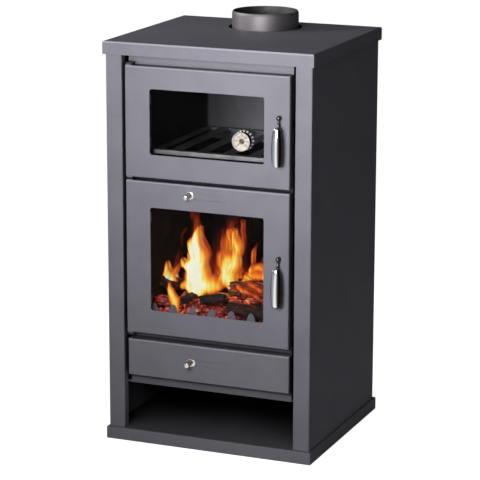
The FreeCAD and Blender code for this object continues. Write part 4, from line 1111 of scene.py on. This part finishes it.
def studio_walls(tree, place):
    """White to the eye. Metal and glass see a white screen in front, grey cloth at the left, else dusk."""
    facing = add_node(tree, "TexCoord").outputs[place]
    view = add_node(tree, "VectorMath", facing, operation="NORMALIZE").outputs["Vector"]
    screen = spread(tree, toward(tree, view, screen_side), 0.0, 1.0, 0.77, 0.85)
    cloth = spread(tree, toward(tree, view, cloth_side), 0.03, 0.38, -0.1, 0.9)
    choice = add_node(tree, "Mix")
    feed(tree, choice.inputs[0], add_node(tree, "LightPath").outputs["Is Glossy Ray"])
    feed(tree, choice.inputs[2], 1.0)
    feed(tree, choice.inputs[3], greater(tree, screen, cloth))
    return choice.outputs[0]


def greater(tree, first, second):
    """The greater of two values."""
    return add_node(tree, "Math", first, second, operation="MAXIMUM").outputs[0]


def seen_rays(tree):
    """1 for rays of the camera and for those by which metal and glass show the surroundings."""
    rays = add_node(tree, "LightPath").outputs
    seen = greater(tree, rays["Is Camera Ray"], rays["Is Glossy Ray"])
    return greater(tree, seen, rays["Is Transmission Ray"])


def floor_look():
    """White to the eye, and dimmer as a light, so that the object keeps its shadow on it."""
    material = bpy.data.materials.new("floor_look")
    material.use_nodes = True
    tree = material.node_tree
    tree.nodes.clear()
    strength = add_node(tree, "Math", seen_rays(tree), studio_walls(tree, "Object"), operation="MULTIPLY")
    cloth = add_node(tree, "BsdfDiffuse", Color=grey(0.5))
    glow = add_node(tree, "Emission", Color=grey(1), Strength=strength.outputs[0])
    both = add_node(tree, "AddShader", cloth.outputs[0], glow.outputs[0])
    add_node(tree, "OutputMaterial", Surface=both.outputs[0])
    return material


def lamp(name, place, target, size, power, spread_angle, shows=True):
    """A square lamp that shines within a cone of some degrees. It may be kept out of reflections."""
    data = bpy.data.lights.new(name, "AREA")
    data.shape = "SQUARE"
    data.size = size
    data.energy = power
    data.spread = math.radians(spread_angle)
    thing = placed(name, data)
    thing.location = place
    thing.rotation_euler = (Vector(target) - Vector(place)).to_track_quat("-Z", "Y").to_euler()
    thing.visible_camera = False
    thing.visible_glossy = shows


def camera():
    """A long lens from the right and above, nearly level sideways."""
    sine, cosine = math.sin(camera_yaw), math.cos(camera_yaw)
    level = math.cos(camera_pitch)
    ahead = Vector((-sine * level, cosine * level, -math.sin(camera_pitch)))
    right = Vector((cosine, sine, 0))
    up = right.cross(ahead)
    turned_right = right * math.cos(camera_roll) + up * math.sin(camera_roll)
    place = Matrix((turned_right, turned_right.cross(ahead), -ahead)).transposed().to_4x4()
    place.translation = camera_aim - aim_left * right - aim_down * up - ahead * camera_distance
    data = bpy.data.cameras.new("camera")
    data.sensor_width = 36
    data.lens = camera_lens
    data.clip_end = 100
    thing = placed("camera", data)
    thing.matrix_world = place
    bpy.context.scene.camera = thing


ember = ember_coal("ember_look")
flame = flame_glow("flame_look")
char_black = charred_wood("char_black_look", (0.016, 0.012, 0.013), 0.12)
char_red = charred_wood("char_red_look", (0.50, 0.14, 0.12), 1.1)
char_brown = charred_wood("char_brown_look", (0.60, 0.25, 0.10), 0.5)

dress_nodes()
for door in ("oven", "fire"):
    handle(door)
    clip_screws(door)
air_knob("fire_air_knob", "fire_slide")
air_knob("ash_air_knob", "ash_slide")
dial_marks()
casing_screws()
fire()
studio()
camera()
